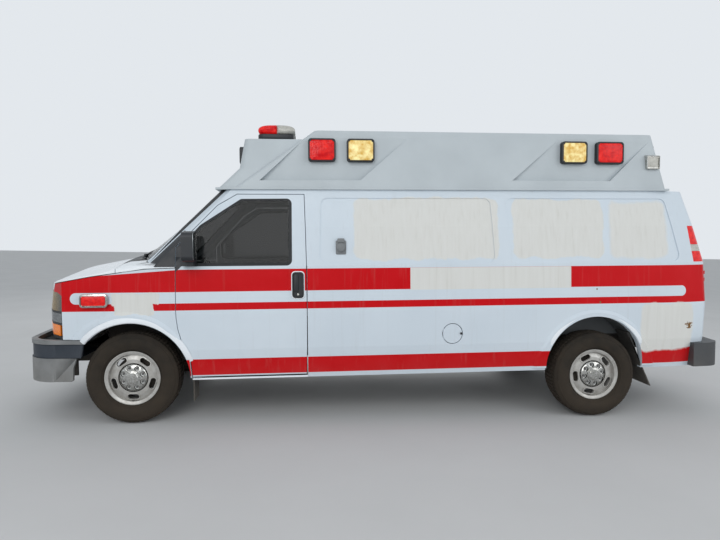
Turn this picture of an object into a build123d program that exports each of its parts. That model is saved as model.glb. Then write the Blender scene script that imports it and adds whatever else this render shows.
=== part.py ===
"""Van-type ambulance with a raised roof, in millimetres.

Every piece is drawn in a body frame: x forward from the front axle, y to the left, z up from the road
under the front axle. The body sits nose-down on its springs, so sprung pieces are turned by RAKE about
the front axle line. Wheels, knuckles and the rear axle stand on the level road. The origin of the written
pieces is on the road, at mid-length, in the centre plane.
"""

import os
from math import atan2, cos, degrees, pi, radians, sin, sqrt, tan

from build123d import *

# Stance
WHEELBASE = 3937.0
TRACK = 1736.0
RAKE = 1.13
FRONT_REACH = 920.0
REAR_REACH = 5205.0
ORIGIN_X = (FRONT_REACH - REAR_REACH) / 2

# Wheels
TYRE_R = 375.0
# Half section of the tyre from the bead to the tread: radius and distance from its middle
TYRE_WALL = ((225.0, 88.0), (246.0, 111.0), (296.0, 124.0), (348.0, 110.0), (TYRE_R, 74.0))
RIM_R = 203.0
RIM_FLANGE_R = 221.0
RIM_W = 178.0
HUB_R = 62.0
SPINDLE_R = 24.0
BEARING_GAP = 0.05
LUG_COUNT = 8
LUG_CIRCLE_R = 82.5
SLOT_COUNT = 5
REAR_WHEEL_TURN = -10.0
SLOT_CIRCLE_R = 157.0
SLOT_L = 92.0
SLOT_W = 42.0
SLOT_LIP = 9.0
# Section of the raised lips round the slots: radius and distance from the middle of the wheel
SLOT_LIP_SECTION = (
    (116.0, 68.0), (116.0, 78.0), (150.0, 78.0), (196.0, 66.0), (196.0, 54.0), (150.0, 67.0),
)

# Body walls and running gaps
WALL = 50.0
FENDER_WALL = 30.0
ROOF_WALL = 30.0
GLASS = 6.0
GLASS_DEPTH = 5.0
PANEL_GAP = 6.0
SEAT_GAP = 0.3
PLUG_TAPER = 9.0
SKIN_Y = 1010.0

# Heights of the body
BODY_BOTTOM = 348.0
BELT_Z = 1281.0
BODY_TOP = 1915.0
CAB_FLOOR_Z = 605.0
SILL_FRONT_X = -490.0
FIREWALL_X = -100.0
FLOOR_Z = 640.0
FLOOR_T = 30.0

# Lower body outline: height, half width, nose at the centre plane, tail at the centre plane
LOWER_ROWS = (
    (BODY_BOTTOM, 962.0, 770.0, -5035.0),
    (600.0, 997.0, 812.0, -5055.0),
    (900.0, 1006.0, 818.0, -5065.0),
    (BELT_Z, 992.0, 775.0, -5045.0),
)
# Upper body outline: height, half width, screen centre, screen edge x, screen edge y, tail
UPPER_ROWS = (
    (BELT_Z, 992.0, 180.0, -110.0, 925.0, -5045.0),
    (1600.0, 950.0, -245.0, -400.0, 858.0, -4965.0),
    (BODY_TOP, 891.0, -655.0, -715.0, 800.0, -4878.0),
)
# Screen outline, corner points in the y, z plane
SCREEN = (
    (-862.0, 1302.0), (-500.0, 1336.0), (0.0, 1358.0), (500.0, 1336.0),
    (862.0, 1302.0), (768.0, 1868.0), (-768.0, 1868.0),
)
SCREEN_CORNER = 60.0
HOOD_TOP_Z = 1400.0
HOOD_HALF = 945.0
# Hood crown: the centre line in the x, z plane, turned about a line far below it
HOOD_LINE = (
    (900.0, 1010.0), (818.0, 1100.0), (707.0, 1197.0), (518.0, 1275.0),
    (195.0, 1337.0), (40.0, 1385.0), (-420.0, 1420.0),
)
HOOD_CROWN_R = 5000.0
HOOD_REAR_X = 112.0
# Hood hinge: axis x and z, brackets at both sides of the centre, round room in the cowl
HOOD_HINGE = (120.0, 1342.0)
HOOD_HINGE_Y = 90.0
HOOD_HINGE_ROOM = 28.0
HOOD_PIN_R = 4.0
# Side seam of the hood, from the nose back to the screen pillar
HOOD_SEAM = (
    (900.0, 1088.0), (700.0, 1088.0), (646.0, 1149.0), (310.0, 1209.0), (-118.0, 1268.0), (-359.0, 1275.0),
)

# Wheel arches: centre x, centre z, lip radius
FRONT_ARCH = (1.0, 363.0, 468.0)
REAR_ARCH = (-3930.0, 378.0, 440.0)
# Flares over the arches: centre x, centre z, radius at the skin
FRONT_FLARE = (4.0, 404.0, 488.0)
REAR_FLARE = (-3930.0, 378.0, 490.0)
FLARE_PROUD = 16.0
FLARE_SLOPE = 26.0
FLARE_INNER_Y = 940.0
# Rear lower end of the fender, between the arch and the door
FENDER_TAIL = (-476.0, 470.0)

# Front door outline and its window, corner points in the x, z plane
DOOR_FRONT_X = -365.0
DOOR_REAR_X = -1420.0
DOOR_BOTTOM_Z = 368.0
DOOR_TOP_Z = 1890.0
FRONT_DOOR = (
    (-474.0, DOOR_BOTTOM_Z), (-468.0, 520.0), (-457.0, 562.0), (-431.0, 614.0), (-401.0, 688.0),
    (-379.0, 770.0), (-368.0, 860.0), (DOOR_FRONT_X, 930.0), (DOOR_FRONT_X, 1440.0),
    (-690.0, 1792.0), (-850.0, DOOR_TOP_Z), (DOOR_REAR_X, DOOR_TOP_Z), (DOOR_REAR_X, DOOR_BOTTOM_Z),
)
FRONT_WINDOW = (
    (-420.0, 1284.0), (-420.0, 1462.0), (-560.0, 1620.0),
    (-885.0, 1836.0), (-1302.0, 1840.0), (-1302.0, 1284.0),
)

# Side door on the right: front leaf and rear leaf
SIDE_DOOR_FRONT_X = -1500.0
SIDE_DOOR_SPLIT_X = -2240.0
SIDE_DOOR_REAR_X = -2740.0
SIDE_DOOR_BOTTOM_Z = 380.0
SIDE_DOOR_TOP_Z = 1860.0
SIDE_WINDOW_BOTTOM_Z = 1330.0
SIDE_WINDOW_TOP_Z = 1740.0
SIDE_WINDOW_MARGIN = 90.0

# Rear doors
REAR_DOOR_HALF = 800.0
REAR_DOOR_BOTTOM_Z = 600.0
REAR_DOOR_TOP_Z = 1840.0
REAR_WINDOW_INNER_Y = 110.0
REAR_WINDOW_OUTER_Y = 640.0
REAR_WINDOW_BOTTOM_Z = 1320.0
REAR_WINDOW_TOP_Z = 1720.0
REAR_TAPER = 13.0

# Hinges of the side and rear doors: their axes, barrels, plates and heights
SIDE_HINGE_Y = 1014.0
REAR_HINGE = (-5042.0, 803.0)
HINGE_HEIGHTS = (710.0, 1150.0)
HINGE_R = 8.0
HINGE_PIN_R = 4.0
HINGE_H = 48.0
HINGE_PLAY = 0.5
HINGE_REACH = 52.0
SIDE_PLATE_T = 24.0
REAR_PLATE_T = 34.0
# How far from the axis the plates of the rear hinges meet the door and the frame
REAR_PLATE_Y = (34.0, 0.0)

# Side panel: rear seam, pressed recesses and fuel door
SIDE_PANEL_FRONT_X = -1426.0
REAR_SEAM = (
    (-4676.0, BODY_TOP), (-4829.0, 1453.0), (-4856.0, 998.0), (-4837.0, 521.0), (-4837.0, BODY_BOTTOM),
)
TAIL_LAMP = ((-4852.0, 1285.0), (-5100.0, 1285.0), (-5100.0, 1605.0), (-4818.0, 1605.0))
TAIL_LAMP_INNER_Y = 845.0
TAIL_LAMP_T = 22.0
RECESS_DEPTH = 7.0
RECESS_BOTTOM_Z = 1296.0
RECESS_TOP_Z = 1845.0
RECESSES = (
    (
        (-1528.0, RECESS_BOTTOM_Z), (-3026.0, RECESS_BOTTOM_Z),
        (-3000.0, RECESS_TOP_Z), (-1545.0, RECESS_TOP_Z),
    ),
    (
        (-3160.0, RECESS_BOTTOM_Z), (-4718.0, RECESS_BOTTOM_Z),
        (-4600.0, RECESS_TOP_Z), (-3134.0, RECESS_TOP_Z),
    ),
)
RECESS_CORNER = 60.0
FUEL_DOOR_X = -2651.0
FUEL_DOOR_Z = 693.0
FUEL_DOOR_R = 83.0
FUEL_DOOR_T = 8.0
FUEL_POCKET_DEPTH = 40.0
# Pin of the filler lid: centre x, centre y, half length
FUEL_PIN = (-2575.0, 997.0, 50.0)
FUEL_PIN_R = 2.5

# Raised roof, wide main part and narrower front part: height, front x, rear x, half width
ROOF_BASE_Z = BODY_TOP + SEAT_GAP
ROOF_MAIN_ROWS = (
    (ROOF_BASE_Z, -803.0, -4632.0, 905.0),
    (2417.0, -1491.0, -4520.0, 840.0),
)
ROOF_FRONT_ROWS = (
    (ROOF_BASE_Z, -679.0, -1900.0, 880.0),
    (2100.0, -866.0, -1900.0, 845.0),
    (2352.0, -906.0, -1900.0, 780.0),
)
ROOF_CORNER = 55.0
ROOF_LIP = 10.0
ROOF_LIP_H = 18.0
LAMP_PLANE_Y = 848.0
LAMP_PANELS = (
    ((-1039.0, 1991.0), (-1440.0, 2370.0), (-2309.0, 2370.0), (-1882.0, 1995.0)),
    ((-3204.0, 2000.0), (-3645.0, 2370.0), (-4492.0, 2370.0), (-4095.0, 2000.0)),
)

# Warning lamps on the lamp panels: rear x, front x, low z, high z
SIDE_LAMPS = (
    (-1673.0, -1443.0, 2150.0, 2343.0),
    (-2002.0, -1768.0, 2150.0, 2343.0),
    (-3883.0, -3650.0, 2150.0, 2343.0),
    (-4218.0, -3968.0, 2150.0, 2343.0),
)
LAMP_DEPTH = 46.0
LAMP_CORNER = 28.0
SCENE_LAMP = (-4551.0, -4425.0, 2108.0, 2240.0)
SCENE_LAMP_REACH = 905.0
FRONT_LAMP_Y = 560.0
FRONT_LAMP_Z = 2230.0
REAR_LAMP_Y = (300.0, 640.0)
REAR_LAMP_Z = 2270.0
END_LAMP_W = 230.0
END_LAMP_H = 150.0
BEACON_X = (-1324.0, -993.0)
BEACON_HALF = 560.0
BEACON_Z = (2396.0, 2520.0)
BEACON_FOOT_Y = 380.0

# Front bumper: outer line in plan from the wheel arch to the centre
BUMPER_LOW_Z = 358.0
BUMPER_BAND_Z = (551.0, 661.0)
BUMPER_TOP_Z = 697.0
BUMPER_T = 46.0
BUMPER_BAND_DEPTH = 8.0
BUMPER_END = (345.0, 980.0)
BUMPER_SIDE = (600.0, 958.0)
BUMPER_CORNER = (775.0, 893.0)
BUMPER_FACE = (862.0, 770.0)
BUMPER_TOE = ((344.0, BUMPER_TOP_Z), (378.0, 661.0), (399.0, 551.0), (428.0, 551.0), (614.0, BUMPER_LOW_Z))

# Rear bumper
REAR_BUMPER_TOP_Z = 562.0
REAR_BUMPER_LOW_Z = 353.0
REAR_BUMPER_FRONT_X = -4838.0
# Left half of its plan: front end, end of the side, corner bend, start of the rear face
REAR_BUMPER_PLAN = ((REAR_BUMPER_FRONT_X, 1010.0), (-4980.0, 1002.0), (-5065.0, 972.0), (-5120.0, 905.0))

# Headlamps and grille
LAMP_TOP_Z = 1078.0
LAMP_LOW_Z = 703.0
LAMP_INNER_Y = 560.0
LAMP_REAR_X = 530.0
GRILLE_TOP_Z = 1078.0
GRILLE_LOW_Z = 703.0
GRILLE_FRAME = 22.0
GRILLE_BAR = 22.0
GRILLE_BARS = 5
GRILLE_RIBS = 9
GRILLE_DEPTH = 40.0

# Running gear
AXLE_Z = TYRE_R
KINGPIN_Y = 735.0
KNUCKLE_R = 28.0
KNUCKLE_LOW_Z = 255.0
KNUCKLE_HIGH_Z = 530.0
ARM_T = 30.0
ARM_ROOT_Y = 455.0
ARM_ROOT_HALF = 120.0
ARM_TIP_HALF = 26.0
RAIL_Y = 430.0
RAIL_W = 70.0
RAIL_T = 6.0
RAIL_LOW_Z = 425.0
RAIL_HIGH_Z = 570.0
RAIL_FRONT_X = 780.0
RAIL_REAR_X = -4970.0
CROSS_MEMBERS = (700.0, 20.0, -1250.0, -2400.0, -3450.0, -4500.0)
CROSS_W = 80.0
CROSS_H = 35.0
# Lashing eyes under the ends of the rails: centre x, centre z
TOW_EYES = ((700.0, 322.0), (-4900.0, 315.0))
TOW_EYE_R = 15.0
TOW_EYE_T = 24.0
AXLE_TUBE_R = 42.0
DIFF_R = 160.0
SPRING_Y = 540.0
SPRING_W = 64.0
SPRING_T = 40.0
SPRING_HALF = 680.0
SPRING_RISE = 130.0
SPRING_EYE_H = 14.0
ENGINE = (-540.0, 430.0, 290.0, 835.0)
GEARBOX = (-1190.0, 140.0, 300.0, 540.0)
SHAFT_R = 36.0
TANK = (-2700.0, -1700.0, 880.0, 330.0, 560.0)
EXHAUST_R = 28.0
EXHAUST_ROUTE = (
    (-640.0, -330.0, 340.0), (-900.0, -600.0, 300.0), (-3150.0, -600.0, 300.0), (-3330.0, -940.0, 300.0),
)
EXHAUST_BEND_R = 90.0
MUFFLER_R = 95.0
FLAP_T = 8.0
# Rear mud flap: x at its top, x at its foot, height of its foot
REAR_FLAP = (-4378.0, -4455.0, 181.0)
REAR_FLAP_T = 10.0

# Cab and patient space
DASH = (
    (FIREWALL_X - SEAT_GAP, 900.0), (FIREWALL_X - SEAT_GAP, 1255.0), (-250.0, 1272.0),
    (-440.0, 1200.0), (-440.0, 1080.0), (-340.0, 900.0),
)
DASH_HALF = 840.0
STEERING_HUB = (-570.0, 400.0, 1170.0)
STEERING_TILT = 29.0
STEERING_R = 190.0
STEERING_RIM = 14.0
SHAFT_TIP_R = 10.0
SEAT_Y = 420.0
SEAT_W = 500.0
SEAT_PROFILE = (
    (-870.0, 860.0), (-850.0, 985.0), (-1190.0, 965.0), (-1290.0, 1520.0), (-1310.0, 1600.0),
    (-1375.0, 1600.0), (-1400.0, 1520.0), (-1320.0, 930.0), (-1300.0, 860.0),
)
COVER = ((-104.0, CAB_FLOOR_Z), (-104.0, 888.0), (-600.0, 868.0), (-700.0, CAB_FLOOR_Z))
COVER_HALF = 320.0
COVER_T = 10.0
REAR_FLOOR_X = -4990.0
WHEELHOUSE_T = 10.0
WHEELHOUSE_Y = 690.0
# Blocks between the rails and the floor: place along the body and top of the floor above them
MOUNT_BLOCKS = ((-1100.0, CAB_FLOOR_Z), (-1600.0, FLOOR_Z), (-3000.0, FLOOR_Z), (-4700.0, FLOOR_Z))
PARTITION_X = -1440.0
PARTITION_T = 25.0
PARTITION_DOOR_HALF = 260.0
CABINET = (-4700.0, -1750.0, 560.0)
BENCH = (-4700.0, -2900.0, 560.0, 1050.0)
BENCH_PAD = 80.0

# Outside mirrors
MIRROR = (-550.0, -463.0, 1060.0, 1215.0, 1323.0, 1573.0)


def polygon(points, radius=0.0):
    """Closed outline of a list of corners, rounded by one radius if it is given."""
    if radius:
        return make_face(FilletPolyline(*points, radius=radius, close=True))
    return make_face(Polyline(*points, close=True))


def rect(a0, a1, b0, b1, radius=0.0):
    """Rectangular outline between two corners, rounded by one radius if it is given."""
    return polygon(((a0, b0), (a0, b1), (a1, b1), (a1, b0)), radius)


def slab_y(outline, y_out, y_in, taper=0.0):
    """Solid from an outline in x, z, extruded inwards from y_out to y_in, narrowing by taper degrees."""
    return extrude(Plane.XZ.offset(-y_out) * outline, y_out - y_in, taper=taper)


def plug_y(outline, gap):
    """Door outline grown by a gap: straight outside the skin, narrowing inwards like a plug."""
    grown = offset(outline, gap, kind=Kind.INTERSECTION) if gap else outline
    return slab_y(grown, SKIN_Y + 90, SKIN_Y) + slab_y(grown, SKIN_Y, 700, PLUG_TAPER)


def slab_x(outline, x_back, x_front, taper=0.0):
    """Solid from an outline in y, z, extruded forwards from x_back to x_front."""
    return extrude(Plane.YZ.offset(x_back) * outline, x_front - x_back, taper=taper)


def block(x0, x1, y0, y1, z0, z1):
    """Box between two corners."""
    size = Box(abs(x1 - x0), abs(y1 - y0), abs(z1 - z0))
    return Pos((x0 + x1) / 2, (y0 + y1) / 2, (z0 + z1) / 2) * size


def bar_y(x, z, radius, y0, y1):
    """Cylinder along y."""
    return Pos(x, (y0 + y1) / 2, z) * Rot(90, 0, 0) * Cylinder(radius, abs(y1 - y0))


def bar_x(y, z, radius, x0, x1):
    """Cylinder along x."""
    return Pos((x0 + x1) / 2, y, z) * Rot(0, 90, 0) * Cylinder(radius, abs(x1 - x0))


def bar_z(x, y, radius, z0, z1):
    """Cylinder along z."""
    return Pos(x, y, (z0 + z1) / 2) * Cylinder(radius, abs(z1 - z0))


def right(shape):
    """The same piece on the right side."""
    return mirror(shape, Plane.XZ)


def group(shapes):
    """Several separate solids as one piece."""
    return Compound(children=[solid for shape in shapes for solid in shape.solids()])


def pair(shape):
    """A piece of the left side together with the same piece on the right."""
    return group((shape, right(shape)))


def tangent_mid(start, end):
    """Middle point of the arc that leaves start along the side and ends at end."""
    dx, dy = start[0] - end[0], start[1] - end[1]
    radius = (dx**2 + dy**2) / (2 * dy)
    half_turn = atan2(dx, radius - dy) / 2
    return start[0] - radius * sin(half_turn), start[1] - radius * (1 - cos(half_turn))


def tail_points(half, tail, inset):
    """Left half of the tail outline: end of the side, end of its bend, corner, start of the back."""
    side_end = (tail + 505, half - inset)
    bend_end = (tail + 95 + 0.4 * inset, half - 60 - inset)
    corner_mid = (tail + 51 + 0.8 * inset, half - 104 - 0.8 * inset)
    back_start = (tail + 38 + inset, half - 165 - 0.5 * inset)
    return side_end, bend_end, corner_mid, back_start


def closed_plan(z, front, half, tail, inset):
    """Face at one height, from its front edges and the common side and tail."""
    side_end, bend_end, corner_mid, back_start = tail_points(half, tail, inset)
    flip = lambda p: (p[0], -p[1])
    start = front[-1]
    edges = []
    for a, b in zip(front[1:], front[2:]):
        edges += [Line(a, b), Line(flip(a), flip(b))]
    edges += [ThreePointArc(flip(front[1]), front[0], front[1])]
    edges += [Line(start, side_end), Line(flip(start), flip(side_end))]
    bend_mid = tangent_mid(side_end, bend_end)
    edges += [ThreePointArc(side_end, bend_mid, bend_end)]
    edges += [ThreePointArc(flip(side_end), flip(bend_mid), flip(bend_end))]
    edges += [ThreePointArc(bend_end, corner_mid, back_start)]
    edges += [ThreePointArc(flip(bend_end), flip(corner_mid), flip(back_start))]
    edges += [ThreePointArc(back_start, (tail + inset, 0), flip(back_start))]
    return Plane.XY.offset(z) * make_face(edges)


def lower_face(row, inset, pad=0.0):
    """Outline of the lower body: nose arc, bevelled corner, fender side, straight side, tail."""
    z, half, nose, tail = row
    front = (
        (nose - inset, 0),
        (nose - 60 - inset, 640 - inset / 2),
        (nose - 150 - inset, 820 - 0.7 * inset),
        (530, half - 34 - inset),
        (-300, half - inset),
    )
    return closed_plan(z + pad, front, half, tail, inset)


def upper_face(row, inset, pad=0.0):
    """Outline of the cab and load space above the belt line: screen arc, pillar, side, tail."""
    z, half, screen, edge_x, edge_y, tail = row
    front = (
        (screen - 1.8 * inset, 0),
        (edge_x - 1.6 * inset, edge_y - 0.8 * inset),
        (edge_x - 95 - inset, half - inset),
    )
    return closed_plan(z + pad, front, half, tail, inset)


def stack(rows, face, inset, open_ends):
    """Solid through the outlines of all rows. Open ends reach a little past the first and last row."""
    pads = [0.0] * len(rows)
    if open_ends:
        pads[0], pads[-1] = -2.0, 2.0
    return loft([face(row, inset, pad) for row, pad in zip(rows, pads)], ruled=True)


def lower_body(inset=0.0, open_ends=False):
    """Lower body volume, drawn in by an inset."""
    return stack(LOWER_ROWS, lower_face, inset, open_ends)


def upper_body(inset=0.0, open_ends=False):
    """Upper body volume, drawn in by an inset."""
    return stack(UPPER_ROWS, upper_face, inset, open_ends)


def front_body(inset=0.0, open_ends=False):
    """Nose volume up to above the hood."""
    last = LOWER_ROWS[-1]
    rows = LOWER_ROWS + ((HOOD_TOP_Z, HOOD_HALF, last[2] - 20, last[3]),)
    return stack(rows, lower_face, inset, open_ends)


def under_hood(drop=0.0):
    """Everything under the crowned hood surface, lowered by a drop."""
    top = [(x, z - drop) for x, z in HOOD_LINE]
    profile = polygon([(HOOD_LINE[0][0], 300.0)] + top + [(HOOD_LINE[-1][0], 300.0)])
    axis_z = HOOD_LINE[4][1] - HOOD_CROWN_R
    swing = degrees(1150.0 / HOOD_CROWN_R)
    axis = Axis((0, 0, axis_z), (1, 0, 0))
    sheet = Plane.XZ * profile
    turned = sheet.rotate(axis, -swing)
    return revolve(turned, axis, 2 * swing)


def arch_cut(arch, y0, y1, extra=0.0):
    """Wheel arch opening as a disc along y with a mouth below it."""
    x, z, lip = arch
    mouth = block(x - lip - extra, x + lip + extra, y0, y1, z - 400, z)
    return bar_y(x, z, lip + extra, y0, y1) + mouth


def flare(arch, ring, body):
    """Raised lip round a wheel arch, sloping down to the skin at its outer edge."""
    x, z, radius = ring
    depth = SKIN_Y - FLARE_INNER_Y
    cone = Cone(radius + FLARE_SLOPE * depth / FLARE_PROUD, radius - FLARE_SLOPE, depth + FLARE_PROUD)
    hump = Pos(x, FLARE_INNER_Y + (depth + FLARE_PROUD) / 2, z) * Rot(-90, 0, 0) * cone
    hump -= bar_y(arch[0], arch[1], arch[2], 840, 1110)
    hump -= block(x - 700, x + 700, 840, 1110, -100, BODY_BOTTOM + 20)
    return hump & body


NODES = {}
ROAD = Pos(-ORIGIN_X, 0, 0)
SPRUNG = Pos(-ORIGIN_X, 0, TYRE_R) * Rot(0, RAKE, 0) * Pos(0, 0, -TYRE_R)


def add(name, shape, sprung=True):
    """Keep a finished piece under its node name, in the frame of the written files."""
    frame = SPRUNG if sprung else ROAD
    solids = [frame * solid for solid in shape.solids()]
    NODES[name] = solids[0] if len(solids) == 1 else Compound(children=solids)


def body_panels():
    """Side panels, cab frame, rear frame, fenders, hood, header, and the doors cut from the same skins."""
    outer = lower_body() + upper_body()
    inner = lower_body(WALL, True) + upper_body(WALL, True)
    shell = outer - inner
    upper_outer = upper_body()
    glass_shell = upper_body(GLASS_DEPTH) - upper_body(GLASS_DEPTH + GLASS, True)
    recess_shell = upper_outer - upper_body(RECESS_DEPTH, True)
    flare_shell = lower_body(-FLARE_PROUD) - lower_body()
    front = front_body() & under_hood()
    front_shell = front - (front_body(FENDER_WALL, True) & under_hood(FENDER_WALL))

    door = plug_y(polygon(FRONT_DOOR), 0)
    door_hole = plug_y(polygon(FRONT_DOOR), PANEL_GAP)
    window = slab_y(polygon(FRONT_WINDOW, 45), 1100, 700)
    front_door = (shell & door) - window
    front_glass = glass_shell & window
    for side, flip in (("left", lambda s: s), ("right", right)):
        add(f"front_door_{side}", flip(front_door))
        add(f"front_door_glass_{side}", flip(front_glass))

    # Left side panel, with recesses, arch and fuel pocket
    side_region = polygon(
        ((SIDE_PANEL_FRONT_X, BODY_BOTTOM), (SIDE_PANEL_FRONT_X, BODY_TOP)) + REAR_SEAM
    )
    side = shell & slab_y(side_region, 1100, 700)
    side -= arch_cut(REAR_ARCH, 800, 1100)
    panel_left = side
    for corners in RECESSES:
        panel_left -= recess_shell & slab_y(polygon(corners, RECESS_CORNER), 1100, 700)
    flare_rear = flare(REAR_ARCH, REAR_FLARE, flare_shell)
    panel_left += flare_rear
    pocket = bar_y(FUEL_DOOR_X, FUEL_DOOR_Z, FUEL_DOOR_R + PANEL_GAP, 1100, 1006 - FUEL_POCKET_DEPTH)
    panel_left -= pocket
    pin_x, pin_y, pin_half = FUEL_PIN
    panel_left += bar_z(pin_x, pin_y, FUEL_PIN_R, FUEL_DOOR_Z - pin_half, FUEL_DOOR_Z + pin_half)
    add("side_panel_left", panel_left)
    lid = lower_body() - lower_body(FUEL_DOOR_T, True)
    lid &= bar_y(FUEL_DOOR_X, FUEL_DOOR_Z, FUEL_DOOR_R, 1100, 900)
    barrel = bar_z(pin_x, pin_y, 2 * FUEL_PIN_R, FUEL_DOOR_Z - 30, FUEL_DOOR_Z + 30)
    bore = bar_z(pin_x, pin_y, FUEL_PIN_R + BEARING_GAP, FUEL_DOOR_Z - 60, FUEL_DOOR_Z + 60)
    add("fuel_door", lid + barrel - bore)

    # Right side panel with the side door opening
    spans = (
        (SIDE_DOOR_FRONT_X, SIDE_DOOR_SPLIT_X + PANEL_GAP / 2),
        (SIDE_DOOR_SPLIT_X - PANEL_GAP / 2, SIDE_DOOR_REAR_X),
    )
    leaves = [rect(x0, x1, SIDE_DOOR_BOTTOM_Z, SIDE_DOOR_TOP_Z) for x0, x1 in spans]
    opening = rect(
        SIDE_DOOR_FRONT_X + PANEL_GAP, SIDE_DOOR_REAR_X - PANEL_GAP,
        SIDE_DOOR_BOTTOM_Z - PANEL_GAP, SIDE_DOOR_TOP_Z + PANEL_GAP,
    )
    panel_right = side - plug_y(opening, 0) + flare_rear
    panel_right -= recess_shell & slab_y(polygon(RECESSES[1], RECESS_CORNER), 1100, 700)
    leaf_hinges = {}
    for name, x, way in (("front", SIDE_DOOR_FRONT_X, 1), ("rear", SIDE_DOOR_REAR_X, -1)):
        depths = (SIDE_HINGE_Y - SIDE_PLATE_T, SIDE_HINGE_Y - 2)
        plate = lambda z0, z1, side, x=x, way=way: block(x, x + way * side * HINGE_REACH, *depths, z0, z1)
        fixed, leaf_hinges[name] = hinges(x, SIDE_HINGE_Y, HINGE_HEIGHTS, plate)
        panel_right = joined(panel_right, fixed)
    # The pressing above the belt line is a piece of its own, seated on the lower one
    below_belt = panel_right & block(-6000, 0, -1200, 1200, 0, BELT_Z)
    above_belt = panel_right & block(-6000, 0, -1200, 1200, BELT_Z + SEAT_GAP, 2000)
    add("side_panel_right", right(below_belt + above_belt))
    for name, leaf in zip(("front", "rear"), leaves):
        solid = joined(shell & plug_y(leaf, 0), leaf_hinges[name])
        box = leaf.bounding_box()
        x0, x1 = box.min.X + SIDE_WINDOW_MARGIN, box.max.X - SIDE_WINDOW_MARGIN
        pane_hole = slab_y(rect(x0, x1, SIDE_WINDOW_BOTTOM_Z, SIDE_WINDOW_TOP_Z, 50), 1100, 700)
        add(f"side_door_{name}", right(solid - pane_hole))
        add(f"side_door_glass_{name}", right(glass_shell & pane_hole))

    # Cab frame: screen pillars and the strip over the doors
    screen_outline = polygon(SCREEN, SCREEN_CORNER)
    screen_cut = slab_x(screen_outline, -900, 400)
    cab_region = rect(400, SIDE_PANEL_FRONT_X, BELT_Z, BODY_TOP)
    cab_frame = (shell & slab_y(cab_region, 1100, -1100)) - screen_cut
    cab_frame = cab_frame - door_hole - right(door_hole)
    for y in (HOOD_HINGE_Y, -HOOD_HINGE_Y):
        cab_frame += hood_bracket(y)
    add("cab_frame", cab_frame)
    screen_pane = slab_x(offset(screen_outline, -SEAT_GAP), -900, 400)
    add("windshield", (glass_shell & screen_pane))

    # Rear frame and rear doors
    tail_region = polygon(REAR_SEAM + ((-5300, BODY_BOTTOM), (-5300, BODY_TOP)))
    rear_frame = shell & slab_y(tail_region, 1100, -1100)
    doors_outline = rect(
        -REAR_DOOR_HALF - PANEL_GAP, REAR_DOOR_HALF + PANEL_GAP,
        REAR_DOOR_BOTTOM_Z - PANEL_GAP, REAR_DOOR_TOP_Z + PANEL_GAP,
    )
    rear_frame -= slab_x(doors_outline, -5150, -4700, REAR_TAPER)
    header = (-1100, 1100, BODY_TOP - FENDER_WALL, BODY_TOP)
    rear_frame += upper_outer & block(-5000, -4690, *header)
    rear_frame += upper_body(WALL + SEAT_GAP, True) & block(-4700, -4560, *header)
    post_zone = slab_y(polygon(TAIL_LAMP), 1100, TAIL_LAMP_INNER_Y)
    post_zone += right(post_zone)
    rear_frame -= (upper_body(-1) - upper_body(TAIL_LAMP_T + SEAT_GAP, True)) & post_zone
    x, y = REAR_HINGE

    def rear_plate(z0, z1, side):
        end = y + side * HINGE_REACH
        plate = block(x + 2, x + REAR_PLATE_T, y + side * REAR_PLATE_Y[side > 0], end, z0, z1)
        return plate + block(x + 2, x + HINGE_R + 2, y, end, z0, z1)

    fixed, moving = hinges(x, y, HINGE_HEIGHTS, rear_plate)
    rear_frame = joined(rear_frame, fixed + [right(piece) for piece in fixed])
    add("rear_frame", rear_frame)
    add("tail_lamps", (upper_outer - upper_body(TAIL_LAMP_T, True)) & post_zone)
    rear_leaf = rect(PANEL_GAP, REAR_DOOR_HALF, REAR_DOOR_BOTTOM_Z, REAR_DOOR_TOP_Z)
    rear_door = shell & slab_x(rear_leaf, -5150, -4700, REAR_TAPER)
    rear_pane = (REAR_WINDOW_INNER_Y, REAR_WINDOW_OUTER_Y, REAR_WINDOW_BOTTOM_Z, REAR_WINDOW_TOP_Z)
    rear_hole = slab_x(rect(*rear_pane, 60), -5150, -4700)
    for side, flip in (("left", lambda s: s), ("right", right)):
        add(f"rear_door_{side}", flip(joined(rear_door - rear_hole, moving)))
        add(f"rear_door_glass_{side}", flip(glass_shell & rear_hole))

    # Hood, fenders, header and cowl
    seam_top = HOOD_SEAM + ((-359.0, 1600.0), (900.0, 1600.0))
    above_seam = slab_y(polygon(seam_top), 1100, -1100)
    ahead = block(HOOD_REAR_X, 1000, -1100, 1100, 300, 1700)
    hood = (front_shell & above_seam & ahead) - upper_body(-PANEL_GAP)
    for y in (HOOD_HINGE_Y, -HOOD_HINGE_Y):
        hood -= hinge_room(y)
    add("hood", hood)
    below = [(x, z - PANEL_GAP) for x, z in HOOD_SEAM]
    tail_x, tail_z = FENDER_TAIL
    behind = [(tail_x, below[-1][1]), (tail_x, tail_z), (tail_x + 90, tail_z), (tail_x + 90, BODY_BOTTOM)]
    fender_region = polygon(below + behind + [(900.0, BODY_BOTTOM)])
    fender = front_shell & slab_y(fender_region, 1100, 500)
    fender -= arch_cut(FRONT_ARCH, 400, 1100)
    fender -= door_hole
    bumper_room = block(330, 1000, 500, 1100, 300, LAMP_LOW_Z)
    fender -= bumper_room
    add_nose(front_shell, fender, flare(FRONT_ARCH, FRONT_FLARE, flare_shell) - bumper_room - door_hole)
    cowl = front_shell & above_seam & block(-359, HOOD_REAR_X - PANEL_GAP, -1100, 1100, 300, 1700)
    cowl -= upper_outer
    cowl -= bar_y(*HOOD_HINGE, HOOD_HINGE_ROOM, -1100, 1100)
    add("cowl", cowl - door_hole - right(door_hole))


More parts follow.
